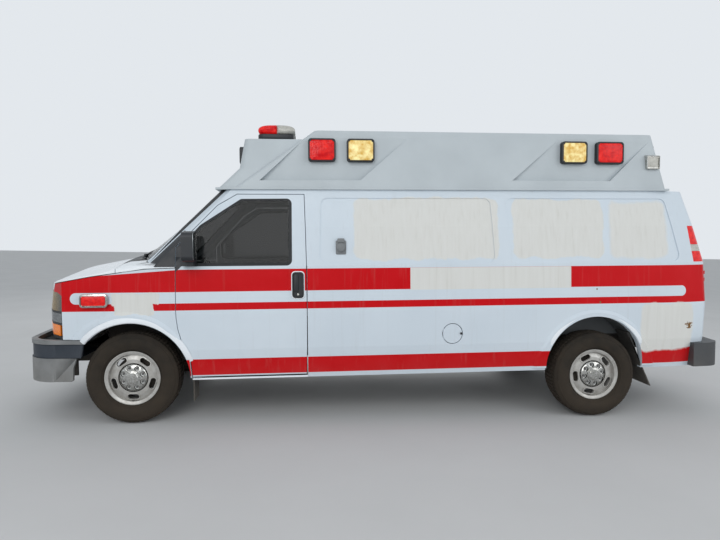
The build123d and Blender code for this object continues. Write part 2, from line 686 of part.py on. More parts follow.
def hinges(x, y, heights, plate):
    """Hinges on one vertical axis: the frame's barrels with their pin, and the door's bored barrels.

    The plate function gives a plate between two heights, the frame's for 1 and the door's for -1.
    """
    fixed, moving = [], []
    for z in heights:
        inner, outer = HINGE_H / 3, HINGE_H
        for z0, z1 in ((z - outer, z - inner), (z + inner, z + outer)):
            fixed.append(bar_z(x, y, HINGE_R, z0, z1) + plate(z0, z1, 1))
        fixed.append(bar_z(x, y, HINGE_PIN_R, z - outer, z + outer))
        z0, z1 = z - inner + HINGE_PLAY, z + inner - HINGE_PLAY
        bore = bar_z(x, y, HINGE_PIN_R + BEARING_GAP, z0 - 1, z1 + 1)
        moving.append(bar_z(x, y, HINGE_R, z0, z1) + plate(z0, z1, -1) - bore)
    return fixed, moving


def joined(shape, pieces):
    """A shape together with some pieces that meet it."""
    for piece in pieces:
        shape = shape + piece
    return shape


def hood_bracket(y):
    """Hinge bracket of the hood on the panel under the screen, with its pin."""
    x, z = HOOD_HINGE
    bracket = block(x - 34, x, y - 5, y + 5, z - 12, z) + bar_y(x, z, 6, y - 5, y + 5)
    return bracket + bar_y(x, z, HOOD_PIN_R, y - 20, y + 20)


def hinge_room(y):
    """Room in the hood for one hinge bracket, with the bore for its pin."""
    x, z = HOOD_HINGE
    room = bar_y(x, z, 11.5, y - 11, y + 11) + block(x - 20, x + 11.5, y - 11, y + 11, z - 80, z)
    return room + bar_y(x, z, HOOD_PIN_R + BEARING_GAP, y - 22, y + 22)


def add_nose(front_shell, fender, flare_front):
    """Split the nose below the hood into fenders, headlamps and the header with its grille opening."""
    lamp = polygon((
        (900, LAMP_LOW_Z), (900, LAMP_TOP_Z), (600, LAMP_TOP_Z),
        (LAMP_REAR_X, LAMP_TOP_Z - 22), (LAMP_REAR_X, LAMP_LOW_Z),
    ))
    lamp_cut = slab_y(lamp, 1100, LAMP_INNER_Y)
    header_cut = block(640, 1000, -LAMP_INNER_Y, LAMP_INNER_Y, 300, 1200)
    body = fender - lamp_cut - header_cut
    add("fenders", pair(body + flare_front))
    add("headlamps", pair((front_shell & lamp_cut) - header_cut))


def plan_box(row, inset=0.0):
    """Outline of a roof part at one height."""
    z, front, back, half = row
    f, b, h = front - inset, back + inset, half - inset
    return Plane.XY.offset(z) * polygon(((f, -h), (f, h), (b, h), (b, -h)), ROOF_CORNER)


def roof_volume(rows, inset=0.0, open_base=False):
    """One part of the raised roof. An inner volume is open below and stays under the outer top."""
    rows = list(rows)
    if inset:
        rows[-1] = (rows[-1][0] - inset,) + rows[-1][1:]
    faces = [plan_box(row, inset) for row in rows]
    body = loft(faces, ruled=True)
    if open_base:
        body += extrude(faces[0], -20)
    return body


def raised_roof():
    """Hollow raised roof with flat lamp panels let into its leaning sides."""
    outer = roof_volume(ROOF_MAIN_ROWS) + roof_volume(ROOF_FRONT_ROWS)
    inner = roof_volume(ROOF_MAIN_ROWS, ROOF_WALL, True) + roof_volume(ROOF_FRONT_ROWS, ROOF_WALL, True)
    for corners in LAMP_PANELS:
        cut = slab_y(polygon(corners), 1100, LAMP_PLANE_Y)
        around = offset(polygon(corners), ROOF_WALL, kind=Kind.INTERSECTION)
        keep = slab_y(around, 1100, LAMP_PLANE_Y - ROOF_WALL)
        outer = outer - cut - right(cut)
        inner = inner - keep - right(keep)
    roof = outer - inner
    z, front, back, half = ROOF_MAIN_ROWS[0]
    nose = ROOF_FRONT_ROWS[0][1]
    lip = polygon((
        (nose + 4, -half + 30), (nose + 4, half - 30), (nose - 130, half + ROOF_LIP),
        (back - 4, half + ROOF_LIP), (back - 4, -half - ROOF_LIP), (nose - 130, -half - ROOF_LIP),
    ))
    band = extrude(Plane.XY.offset(z) * lip, ROOF_LIP_H) - inner
    middle = rect(nose - 60, back + 40, -half + 90, half - 90)
    band -= extrude(Plane.XY.offset(z - 1) * middle, ROOF_LIP_H + 2)
    add("raised_roof", roof + band)


def lamps():
    """Warning lamps of the raised roof, its scene lights and the beacon bar."""
    housings = []
    for x0, x1, z0, z1 in SIDE_LAMPS:
        frame = rect(x0, x1, z0, z1, LAMP_CORNER)
        housings.append(slab_y(frame, LAMP_PLANE_Y + SEAT_GAP + LAMP_DEPTH, LAMP_PLANE_Y + SEAT_GAP, -4))
    x0, x1, z0, z1 = SCENE_LAMP
    scene = block(x0, x1, 800, SCENE_LAMP_REACH, z0, z1)
    scene -= roof_volume(ROOF_MAIN_ROWS, -SEAT_GAP)
    housings.append(scene)
    both = housings + [right(h) for h in housings]
    half_w, half_h = END_LAMP_W / 2, END_LAMP_H / 2
    for y in (FRONT_LAMP_Y, -FRONT_LAMP_Y):
        lamp = block(-960, -830, y - half_w, y + half_w, FRONT_LAMP_Z - half_h, FRONT_LAMP_Z + half_h)
        both.append(lamp - roof_volume(ROOF_FRONT_ROWS, -SEAT_GAP))
    for y in [s * v for s in (1, -1) for v in REAR_LAMP_Y]:
        lamp = block(-4600, -4500, y - half_w, y + half_w, REAR_LAMP_Z - half_h, REAR_LAMP_Z + half_h)
        both.append(lamp - roof_volume(ROOF_MAIN_ROWS, -SEAT_GAP))
    add("warning_lamps", group(both))
    x0, x1 = BEACON_X
    z0, z1 = BEACON_Z
    profile = polygon((
        (x0, z0), (x0 + 25, z1 - 30), (x0 + 60, z1), (x1 - 60, z1), (x1 - 25, z1 - 30), (x1, z0),
    ))
    bar = slab_y(profile, BEACON_HALF, -BEACON_HALF)
    low_top = ROOF_FRONT_ROWS[-1][0]
    for y in (BEACON_FOOT_Y, -BEACON_FOOT_Y):
        bar += block(x0 + 60, x1 - 60, y - 60, y + 60, low_top + SEAT_GAP, z0 + 1)
    add("beacon_bar", bar)


def bumpers():
    """Front bumper with its recessed band, and the rear step bumper."""
    flip = lambda p: (p[0], -p[1])
    edges = [ThreePointArc(BUMPER_FACE, (FRONT_REACH, 0), flip(BUMPER_FACE))]
    for f in (lambda p: p, flip):
        edges.append(Line(f(BUMPER_END), f(BUMPER_SIDE)))
        edges.append(ThreePointArc(f(BUMPER_SIDE), f(BUMPER_CORNER), f(BUMPER_FACE)))
    edges.append(Line(BUMPER_END, flip(BUMPER_END)))
    plan = make_face(edges)
    inside = offset(plan, -BUMPER_T)
    back = make_face(Polyline((200, -934), (200, 934), (395, 934), (395, -934), close=True))
    ring = plan - inside - back
    height = BUMPER_TOP_Z - BUMPER_LOW_Z
    bumper = extrude(Plane.XY.offset(BUMPER_LOW_Z) * ring, height)
    groove = plan - offset(plan, -BUMPER_BAND_DEPTH)
    bumper -= extrude(Plane.XY.offset(BUMPER_BAND_Z[0]) * groove, BUMPER_BAND_Z[1] - BUMPER_BAND_Z[0])
    toe = polygon(((200, BUMPER_TOP_Z),) + BUMPER_TOE + ((614, 300), (200, 300)))
    bumper -= slab_y(toe, 1100, -1100)
    for y in (RAIL_Y, -RAIL_Y):
        bumper += block(RAIL_FRONT_X + SEAT_GAP, 872, y - 30, y + 30, RAIL_LOW_Z + 10, RAIL_HIGH_Z - 10)
    add("front_bumper", bumper)

    start, side, bend, corner = REAR_BUMPER_PLAN
    outline = [ThreePointArc(corner, (-REAR_REACH, 0), flip(corner)), Line(start, flip(start))]
    for f in (lambda p: p, flip):
        outline += [Line(f(start), f(side)), ThreePointArc(f(side), f(bend), f(corner))]
    height = REAR_BUMPER_TOP_Z - REAR_BUMPER_LOW_Z
    rear = extrude(Plane.XY.offset(REAR_BUMPER_LOW_Z) * make_face(outline), height)
    rear -= lower_body(-SEAT_GAP, True)
    add("rear_bumper", rear)


def grille():
    """Surround between the headlamps, with curved bars and ribs in its opening."""
    half = LAMP_INNER_Y - SEAT_GAP
    shell = (front_body() - front_body(FENDER_WALL, True)) & under_hood()
    zone = block(600, 1000, -half, half, GRILLE_LOW_Z, GRILLE_TOP_Z)
    inner = half - GRILLE_FRAME
    hole = block(600, 1000, -inner, inner, GRILLE_LOW_Z + GRILLE_FRAME, GRILLE_TOP_Z - GRILLE_FRAME)
    bars = None
    pitch = (GRILLE_TOP_Z - GRILLE_LOW_Z - GRILLE_FRAME) / (GRILLE_BARS + 1)
    for n in range(1, GRILLE_BARS + 1):
        z = GRILLE_LOW_Z + GRILLE_FRAME / 2 + n * pitch
        bar = block(600, 1000, -half, half, z - GRILLE_BAR / 2, z + GRILLE_BAR / 2)
        bars = bar if bars is None else bars + bar
    step = 2 * half / (GRILLE_RIBS + 1)
    for n in range(1, GRILLE_RIBS + 1):
        y = -half + n * step
        bars += block(600, 1000, y - 4, y + 4, GRILLE_LOW_Z, GRILLE_TOP_Z)
    net = (front_body(10) - front_body(FENDER_WALL, True)) & under_hood(10) & (bars & zone)
    add("grille", ((shell & zone) - hole) + net)


def tyre_and_wheel():
    """Tyre and steel wheel of the left side, centred on the wheel, outside towards +y."""
    half = [(RIM_R + SEAT_GAP, RIM_W / 2 - 1)] + list(TYRE_WALL)
    tyre = revolve(Plane.XY * polygon(half + [(r, -y) for r, y in reversed(half)]), Axis.Y)

    rim_in = RIM_R - 8
    flange = RIM_W / 2
    section = (
        (rim_in, -flange), (RIM_FLANGE_R - 6, -flange - 9), (RIM_FLANGE_R, -flange - 9),
        (RIM_FLANGE_R, -flange - 1), (RIM_R, -flange + 1), (RIM_R, flange - 1),
        (RIM_FLANGE_R, flange + 1), (RIM_FLANGE_R, flange + 9), (RIM_FLANGE_R - 6, flange + 9),
        (rim_in, flange), (rim_in - 2, 58), (150, 72), (112, 74), (96, 52), (HUB_R, 52), (HUB_R, 70),
        (SPINDLE_R + BEARING_GAP, 70), (SPINDLE_R + BEARING_GAP, -20), (HUB_R, -20), (HUB_R, 42),
        (100, 42), (116, 64), (148, 62), (rim_in - 8, 46), (rim_in - 8, 40), (rim_in, 30),
    )
    rim = revolve(Plane.XY * polygon(section), Axis.Y)
    slot_place = Plane.XZ.offset(-100) * Pos(0, -SLOT_CIRCLE_R)
    lip = extrude(slot_place * SlotOverall(SLOT_L + 2 * SLOT_LIP, SLOT_W + 2 * SLOT_LIP), 80)
    lip &= revolve(Plane.XY * polygon(SLOT_LIP_SECTION), Axis.Y)
    cutter = extrude(slot_place * SlotOverall(SLOT_L, SLOT_W), 80)
    for n in range(SLOT_COUNT):
        rim += lip.rotate(Axis.Y, n * 360 / SLOT_COUNT)
    for n in range(SLOT_COUNT):
        rim -= cutter.rotate(Axis.Y, n * 360 / SLOT_COUNT)
    stud = bar_y(LUG_CIRCLE_R, 0, 11, 52, 72)
    for n in range(LUG_COUNT):
        rim += stud.rotate(Axis.Y, (n + 0.5) * 360 / LUG_COUNT)
    return tyre, rim


def running_gear():
    """Four wheels, steering knuckles, front arms and the rear axle with its springs."""
    tyre, rim = tyre_and_wheel()
    for end, x, roll in (("front", 0.0, 0.0), ("rear", -WHEELBASE, REAR_WHEEL_TURN)):
        for side, y, turn in (("left", TRACK / 2, 0), ("right", -TRACK / 2, 180)):
            place = Pos(x, y, AXLE_Z) * Rot(0, 0, turn)
            add(f"tyre_{end}_{side}", place * tyre, sprung=False)
            add(f"wheel_{end}_{side}", place * Rot(0, roll, 0) * rim, sprung=False)

    post = bar_z(0, KINGPIN_Y, KNUCKLE_R, KNUCKLE_LOW_Z, KNUCKLE_HIGH_Z)
    spindle = bar_y(0, AXLE_Z, SPINDLE_R, KINGPIN_Y, TRACK / 2 + 60)
    collar = bar_y(0, AXLE_Z, 48, KINGPIN_Y, TRACK / 2 - 30)
    steer_arm = block(-130, 0, KINGPIN_Y - 60, KINGPIN_Y - 30, AXLE_Z - 60, AXLE_Z - 30)
    steer_arm += block(-20, 20, KINGPIN_Y - 60, KINGPIN_Y, AXLE_Z - 60, AXLE_Z - 30)
    knuckle = post + spindle + collar + steer_arm
    add("knuckle_left", knuckle, sprung=False)
    add("knuckle_right", right(knuckle), sprung=False)

    tip_y = KINGPIN_Y + 10
    plan = polygon((
        (ARM_ROOT_HALF, ARM_ROOT_Y), (ARM_TIP_HALF, tip_y),
        (-ARM_TIP_HALF, tip_y), (-ARM_ROOT_HALF, ARM_ROOT_Y),
    ))
    low, high = KNUCKLE_LOW_Z - SEAT_GAP - ARM_T, KNUCKLE_HIGH_Z + SEAT_GAP
    arms = [extrude(Plane.XY.offset(z) * plan, ARM_T) for z in (low, high)]
    carrier = block(-90, 90, ARM_ROOT_Y - 30, ARM_ROOT_Y + 20, low, high + ARM_T)
    corner = carrier + arms[0] + arms[1]
    beam = block(-60, 60, -ARM_ROOT_Y, ARM_ROOT_Y, KNUCKLE_LOW_Z - 40, KNUCKLE_LOW_Z + 30)
    add("front_suspension", (corner + right(corner) + beam) - rails_volume(), sprung=False)

    end_y = TRACK / 2 + 60
    axle = bar_y(-WHEELBASE, AXLE_Z, AXLE_TUBE_R, -TRACK / 2 + 30, TRACK / 2 - 30)
    axle += bar_y(-WHEELBASE, AXLE_Z, SPINDLE_R, -end_y, end_y)
    axle += Pos(-WHEELBASE, 0, AXLE_Z) * Sphere(DIFF_R)
    axle += bar_x(0, AXLE_Z, 60, -WHEELBASE, -WHEELBASE + 230)
    add("rear_axle", axle, sprung=False)

    low = spring_seat_z()
    spring = leaf_spring(low)
    add("leaf_springs", pair(Pos(0, SPRING_Y, 0) * spring))


def axle_in_body():
    """Place of the rear axle in the body frame, x and z."""
    return -WHEELBASE * cos(radians(RAKE)), AXLE_Z - WHEELBASE * sin(radians(RAKE))


def spring_seat_z():
    """Underside of the leaf springs where they lie on the axle."""
    return axle_in_body()[1] + AXLE_TUBE_R + SEAT_GAP


def leaf_spring(low):
    """One leaf pack, centred on y = 0, bowed up to its eyes."""
    x = axle_in_body()[0]
    rear, front = x - SPRING_HALF, x + SPRING_HALF
    eye_low, eye_high = low + SPRING_RISE, low + SPRING_RISE + SPRING_EYE_H
    under = ThreePointArc((rear, eye_low), (x, low), (front, eye_low))
    over = ThreePointArc((rear, eye_high), (x, low + SPRING_T), (front, eye_high))
    outline = make_face([under, over] + [Line((end, eye_low), (end, eye_high)) for end in (rear, front)])
    return slab_y(outline, SPRING_W / 2, -SPRING_W / 2)


def rails_volume():
    """Outer volume of the two frame rails, in the road frame, a little larger for what meets them."""
    half = RAIL_W / 2 + SEAT_GAP
    heights = (RAIL_LOW_Z - SEAT_GAP, RAIL_HIGH_Z + SEAT_GAP)
    rail = block(RAIL_REAR_X, RAIL_FRONT_X, RAIL_Y - half, RAIL_Y + half, *heights)
    turn = Pos(0, 0, TYRE_R) * Rot(0, RAKE, 0) * Pos(0, 0, -TYRE_R)
    return turn * (rail + right(rail))


def chassis():
    """Ladder frame, engine and gearbox, tank, exhaust and mud flaps."""
    inner_y, outer_y = RAIL_Y - RAIL_W / 2, RAIL_Y + RAIL_W / 2
    low, high = RAIL_LOW_Z + RAIL_T, RAIL_HIGH_Z - RAIL_T
    rail = block(RAIL_REAR_X, RAIL_FRONT_X, inner_y, outer_y, RAIL_LOW_Z, RAIL_HIGH_Z)
    rail -= block(RAIL_REAR_X - 1, RAIL_FRONT_X + 1, inner_y - 1, outer_y - RAIL_T, low, high)
    end = outer_y - RAIL_T - SEAT_GAP
    low, high = RAIL_LOW_Z + RAIL_T + SEAT_GAP, RAIL_LOW_Z + CROSS_H
    members = [block(x - CROSS_W / 2, x + CROSS_W / 2, -end, end, low, high) for x in CROSS_MEMBERS]
    eye_z = spring_seat_z() + SPRING_RISE + SPRING_EYE_H + SEAT_GAP
    x_axle = axle_in_body()[0]
    for s in (1, -1):
        x = x_axle + s * (SPRING_HALF - 30)
        hanger = block(x - 30, x + 30, outer_y - 1, SPRING_Y + SPRING_W / 2, eye_z, RAIL_HIGH_Z)
        rail += hanger
    for x, z in TOW_EYES:
        eye = block(x - 60, x + 60, RAIL_Y - TOW_EYE_T / 2, RAIL_Y + TOW_EYE_T / 2, z - 35, RAIL_LOW_Z + 1)
        eye -= bar_y(x, z, TOW_EYE_R, RAIL_Y - TOW_EYE_T, RAIL_Y + TOW_EYE_T)
        rail += eye
    add("chassis_frame", group([rail, right(rail)] + members))

    x0, x1, half, top = ENGINE
    base = RAIL_LOW_Z + CROSS_H
    power = block(x0, x1, -half, half, base, top)
    gx, gh, g0, g1 = GEARBOX
    power += block(gx, x0 + 1, -gh, gh, g0, g1)
    nose_x = axle_in_body()[0] + 230 + 12
    shaft_z = axle_in_body()[1]
    run = gx - nose_x
    drop = 380 - shaft_z
    length = sqrt(run ** 2 + drop ** 2)
    shaft = Rot(0, 90, 0) * Cylinder(SHAFT_R, length)
    power += Pos((gx + nose_x) / 2, 0, (380 + shaft_z) / 2) * Rot(0, -degrees(atan2(drop, run)), 0) * shaft
    add("powertrain", power)

    tx0, tx1, ty, tz0, tz1 = TANK
    add("fuel_tank", slab_y(rect(tx0, tx1, tz0, tz1, 40), ty, outer_y + SEAT_GAP))

    route = FilletPolyline(*EXHAUST_ROUTE, radius=EXHAUST_BEND_R)
    pipe = sweep(Plane(origin=route @ 0, z_dir=route % 0) * Circle(EXHAUST_R), path=route)
    pipe += bar_x(-600, 320, MUFFLER_R, -2650, -1950)
    pipe += block(-2330, -2290, -600, -outer_y - SEAT_GAP, 380, 480)
    add("exhaust", pipe)

    flap_x = SILL_FRONT_X + SEAT_GAP
    front = block(flap_x, flap_x + FLAP_T, 770, 955, 168, BODY_BOTTOM - SEAT_GAP)
    front += block(flap_x, flap_x + FLAP_T, 785, 885, 300, 430)
    x0, x1, low = REAR_FLAP
    side = ((x0, BODY_BOTTOM), (x0 - REAR_FLAP_T, BODY_BOTTOM), (x1 - REAR_FLAP_T, low), (x1, low))
    rear = slab_y(polygon(side), 970, 700)
    add("mud_flaps", group((front, right(front), rear, right(rear))))


def interior():
    """Floor with wheelhouses, firewall, dashboard, steering wheel, seats and the patient space fittings."""
    inside = lower_body(WALL + SEAT_GAP, True)
    inside_all = inside + upper_body(WALL + SEAT_GAP, True)
    riser_x = PARTITION_X - PARTITION_T
    floor = inside & block(REAR_FLOOR_X, riser_x, -1000, 1000, FLOOR_Z - FLOOR_T, FLOOR_Z)
    floor += inside & block(riser_x - 20, riser_x, -1000, 1000, CAB_FLOOR_Z - FLOOR_T, FLOOR_Z)
    x, z, lip = REAR_ARCH
    room = bar_y(x, z, lip + WHEELHOUSE_T + SEAT_GAP, WHEELHOUSE_Y - SEAT_GAP, 1000)
    floor = floor - room - right(room)
    house = bar_y(x, z, lip + WHEELHOUSE_T, WHEELHOUSE_Y, 1000)
    house -= bar_y(x, z, lip, WHEELHOUSE_Y + WHEELHOUSE_T, 1000)
    house &= inside & block(x - 600, x + 600, 600, 1000, FLOOR_Z - FLOOR_T, 1200)
    cab = inside & block(riser_x + SEAT_GAP, SILL_FRONT_X, -1000, 1000, CAB_FLOOR_Z - FLOOR_T, CAB_FLOOR_Z)
    cab -= block(-700, 0, -COVER_HALF + 14, COVER_HALF - 14, 300, 700)
    ends, sill_z = (DOOR_REAR_X + 2, SILL_FRONT_X), BODY_BOTTOM - 3
    rocker = block(*ends, 780, 890, sill_z, CAB_FLOOR_Z - FLOOR_T - SEAT_GAP)
    rocker += block(*ends, 880, 952, sill_z, DOOR_BOTTOM_Z - PANEL_GAP)
    box_top = SEAT_PROFILE[0][1] - SEAT_GAP
    blocks = [block(-1170, -920, SEAT_Y - 180, SEAT_Y + 180, CAB_FLOOR_Z + SEAT_GAP, box_top)]
    for mount_x, top in MOUNT_BLOCKS:
        ends = (RAIL_HIGH_Z + SEAT_GAP, top - FLOOR_T - SEAT_GAP)
        blocks.append(block(mount_x - 50, mount_x + 50, RAIL_Y - 30, RAIL_Y + 30, *ends))
    add("floor", group([floor, cab] + [pair(piece) for piece in [house, rocker] + blocks]))

    x, z, lip = FRONT_ARCH
    cover_cut = block(-800, -101, -COVER_HALF - 5, COVER_HALF + 5, 300, 900)
    cover_cut += block(-101, 600, -ENGINE[2] - 20, ENGINE[2] + 20, 300, ENGINE[3] + 15)
    ring = bar_y(x, z, lip + 22, 545, 925) - bar_y(x, z, lip + 12, 540, 930)
    ring &= block(x - 520, 325, 500, 960, z + 75, 1200)
    side_wall = bar_y(x, z, lip + 22, 535, 545) & block(x - 520, 325, 500, 960, RAIL_HIGH_Z + 20, 1200)
    low = CAB_FLOOR_Z - FLOOR_T
    toe = slab_y(polygon((
        (SILL_FRONT_X + 1, low), (SILL_FRONT_X + 1, CAB_FLOOR_Z), (-400, CAB_FLOOR_Z + 20),
        (FIREWALL_X, 860), (FIREWALL_X, 1250), (-70, 1250), (-70, 840), (-380, low),
    )), 535, -535)
    wall = block(FIREWALL_X, -70, -900, 900, z + lip + 30, 1250)
    pillar = block(-355, -300, 850, 935, 720, 1240) + block(-355, -70, 900, 935, 1180, 1240)
    pillar += block(-355, -300, 900, 1000, 800, 1240) & front_body(FENDER_WALL + SEAT_GAP, True)
    door_hole = plug_y(polygon(FRONT_DOOR), PANEL_GAP)
    corner = ring + side_wall + pillar - door_hole
    add("firewall", (toe + wall - cover_cut) + corner + right(corner))

    cover = slab_y(polygon(COVER), COVER_HALF, -COVER_HALF)
    hollow = [(x + COVER_T, z - COVER_T) for x, z in COVER]
    hollow[0] = (COVER[0][0] + COVER_T, COVER[0][1] - 50)
    hollow[3] = (COVER[3][0] + COVER_T, COVER[3][1] - 50)
    cover -= slab_y(polygon(hollow), COVER_HALF - COVER_T, -COVER_HALF + COVER_T)
    add("engine_cover", cover & block(-720, -104, -400, 400, CAB_FLOOR_Z + SEAT_GAP, 900))
    hub = STEERING_HUB
    axis = Pos(*hub) * Rot(0, -90 + STEERING_TILT, 0)
    dash = slab_y(polygon(DASH, 30), DASH_HALF, -DASH_HALF)
    column = axis * (Pos(0, 0, -190) * Cylinder(32, 300) + Pos(0, 0, -30) * Cylinder(SHAFT_TIP_R, 40))
    binnacle = slab_y(polygon(((-250, 1200), (-250, 1262), (-470, 1262), (-470, 1200)), 20), 580, 220)
    add("dashboard", (dash + column + binnacle))
    ring_profile = Pos(STEERING_R, 0) * RegularPolygon(STEERING_RIM, 6)
    wheel = revolve(Plane.XZ * ring_profile, Axis.Z)
    for turn in (90, 210, 330):
        wheel += Rot(0, 0, turn) * block(0, STEERING_R, -14, 14, -8, 6)
    wheel += Pos(0, 0, -8) * Cylinder(58, 40)
    wheel -= Pos(0, 0, -25) * Cylinder(SHAFT_TIP_R + BEARING_GAP, 32)
    add("steering_wheel", axis * wheel)

    seat = slab_y(polygon(SEAT_PROFILE, 24), SEAT_W / 2, -SEAT_W / 2)
    add("seats", pair(Pos(0, SEAT_Y, 0) * seat))

    wall_x = PARTITION_X
    heights = (CAB_FLOOR_Z + SEAT_GAP, BODY_TOP - 2)
    partition = inside_all & block(wall_x - PARTITION_T, wall_x, -1000, 1000, *heights)
    partition -= block(wall_x - 100, wall_x + 100, -PARTITION_DOOR_HALF, PARTITION_DOOR_HALF, FLOOR_Z, 1750)
    add("partition", partition)

    x0, x1, y0 = CABINET
    cabinet = inside_all & block(x0, x1, y0, 1000, FLOOR_Z + SEAT_GAP, 1880)
    shelf = block(x0 + 60, x1 - 60, y0 - 1, y0 + 300, 1250, 1800)
    rear_cut = bar_y(REAR_ARCH[0], REAR_ARCH[1], REAR_ARCH[2] + 12, 500, 1000)
    bx0, bx1, by, bz = BENCH
    bench = inside & block(bx0, bx1, -1000, -by, FLOOR_Z + SEAT_GAP, bz)
    add("cabinets", group((cabinet - shelf - rear_cut, bench - right(rear_cut))))
    add("bench_pad", block(bx0 + 20, bx1 - 20, -930, -by + 10, bz + SEAT_GAP, bz + BENCH_PAD))


def mirrors():
    """Outside mirrors on the front doors."""
    x0, x1, y0, y1, z0, z1 = MIRROR
    body = slab_x(polygon(((y0, z0), (y0, z1), (y1, z1 - 20), (y1, z0 + 10)), 40), x0, x1)
    foot = slab_y(polygon(((-430, 1290), (-430, 1345), (-535, 1350), (-535, 1290))), y0 + 30, 900)
    foot = foot + block(-530, -480, y0 - 20, y0 + 40, 1292, z0 + 60)
    mirror_left = (body + foot) - upper_body(-SEAT_GAP)
    add("mirror_left", mirror_left)
    add("mirror_right", right(mirror_left))


def write_parts():
    """Write one file per node."""
    os.makedirs("parts", exist_ok=True)
    for name, shape in NODES.items():
        export_step(shape, f"parts/{name}.step")


if __name__ == "__main__":
    body_panels()
    raised_roof()
    lamps()
    bumpers()
    grille()
    running_gear()
    chassis()
    interior()
    mirrors()
    write_parts()
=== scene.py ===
"""Looks of a van-type ambulance with a raised roof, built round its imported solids.

Sizes are in millimetres in the body frame of the vehicle: x forward from the front axle, y to the left and
z up from the road under the front axle. The body sits a little nose-down, so a finished piece is turned by
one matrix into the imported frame, and its place is then in its mesh, in metres. Wheels and hubs stand on the
level road.
"""

import logging
import math
from dataclasses import dataclass
from enum import Enum
from itertools import product
from typing import Callable, Optional, Sequence, Union

import bpy
from mathutils import Matrix, Vector


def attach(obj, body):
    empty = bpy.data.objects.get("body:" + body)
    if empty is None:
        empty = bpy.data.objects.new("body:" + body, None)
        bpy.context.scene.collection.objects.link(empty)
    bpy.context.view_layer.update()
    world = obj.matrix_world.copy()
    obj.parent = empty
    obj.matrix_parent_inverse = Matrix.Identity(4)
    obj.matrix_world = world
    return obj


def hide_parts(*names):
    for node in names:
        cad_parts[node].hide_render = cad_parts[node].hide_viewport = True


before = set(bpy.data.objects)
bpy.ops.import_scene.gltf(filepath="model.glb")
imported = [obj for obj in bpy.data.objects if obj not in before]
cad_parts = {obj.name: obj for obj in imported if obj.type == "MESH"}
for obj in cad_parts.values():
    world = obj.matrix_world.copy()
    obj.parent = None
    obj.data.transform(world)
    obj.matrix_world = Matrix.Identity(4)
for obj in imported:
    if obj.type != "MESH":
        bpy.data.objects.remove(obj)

LOG = logging.getLogger("ambulance")
MM = 0.001
RAKE = math.radians(1.13)
AXLE_Z = 375.0
FRONT_AXLE_X = 2142.5
WHEELBASE = 3937.0
TRACK = 1736.0

ROAD = Matrix.Translation((FRONT_AXLE_X * MM, 0, 0))
LIFT = Matrix.Translation((0, 0, AXLE_Z * MM))
SPRUNG = ROAD @ LIFT @ Matrix.Rotation(RAKE, 4, "Y") @ LIFT.inverted()
RIGHT = Matrix.Scale(-1, 4, (0, 1, 0))

Corner = tuple[float, float, float]
Spot = tuple[float, float]
Piece = bpy.types.Object
Tree = bpy.types.NodeTree
Out = bpy.types.NodeSocket
Socket = Union[Out, bpy.types.Node, float, tuple]

# How closely a face has to look one way to be chosen, as the cosine of the angle
SQUARE_ON = 0.9
# Turn that brings the ring of nuts onto the wheel's studs
STUD_TURN = Matrix.Rotation(math.radians(22.5), 4, "Y")


class Side(Enum):
    """Side of the vehicle a piece is on."""

    LEFT = 1
    RIGHT = -1

    @property
    def word(self) -> str:
        """Name of the side as the bodies use it."""
        return self.name.lower()


def linear(code: str) -> tuple[float, float, float, float]:
    """Turns an sRGB hex code into a linear colour.

    Args:
        code: Six hex digits after a hash sign.

    Returns:
        Red, green, blue and alpha, linear.
    """
    parts = [int(code[i : i + 2], 16) / 255 for i in (1, 3, 5)]
    red, green, blue = (c / 12.92 if c <= 0.04045 else ((c + 0.055) / 1.055) ** 2.4 for c in parts)
    return red, green, blue, 1.0


def add_node(tree: Tree, kind: str, links: Optional[dict] = None, **settings: object) -> bpy.types.Node:
    """Adds a shader node, sets its properties and fills its inputs.

    Args:
        tree: The node tree.
        kind: The node's class name after "ShaderNode".
        links: Input name or number to a socket, a node or a value.
        settings: Properties of the node.

    Returns:
        The new node.
    """
    node = tree.nodes.new("ShaderNode" + kind)
    for name, value in settings.items():
        setattr(node, name, value)
    for name, value in (links or {}).items():
        socket = node.inputs[name]
        if isinstance(value, bpy.types.Node):
            value = value.outputs[0]
        if isinstance(value, Out):
            tree.links.new(value, socket)
        else:
            socket.default_value = value
    return node


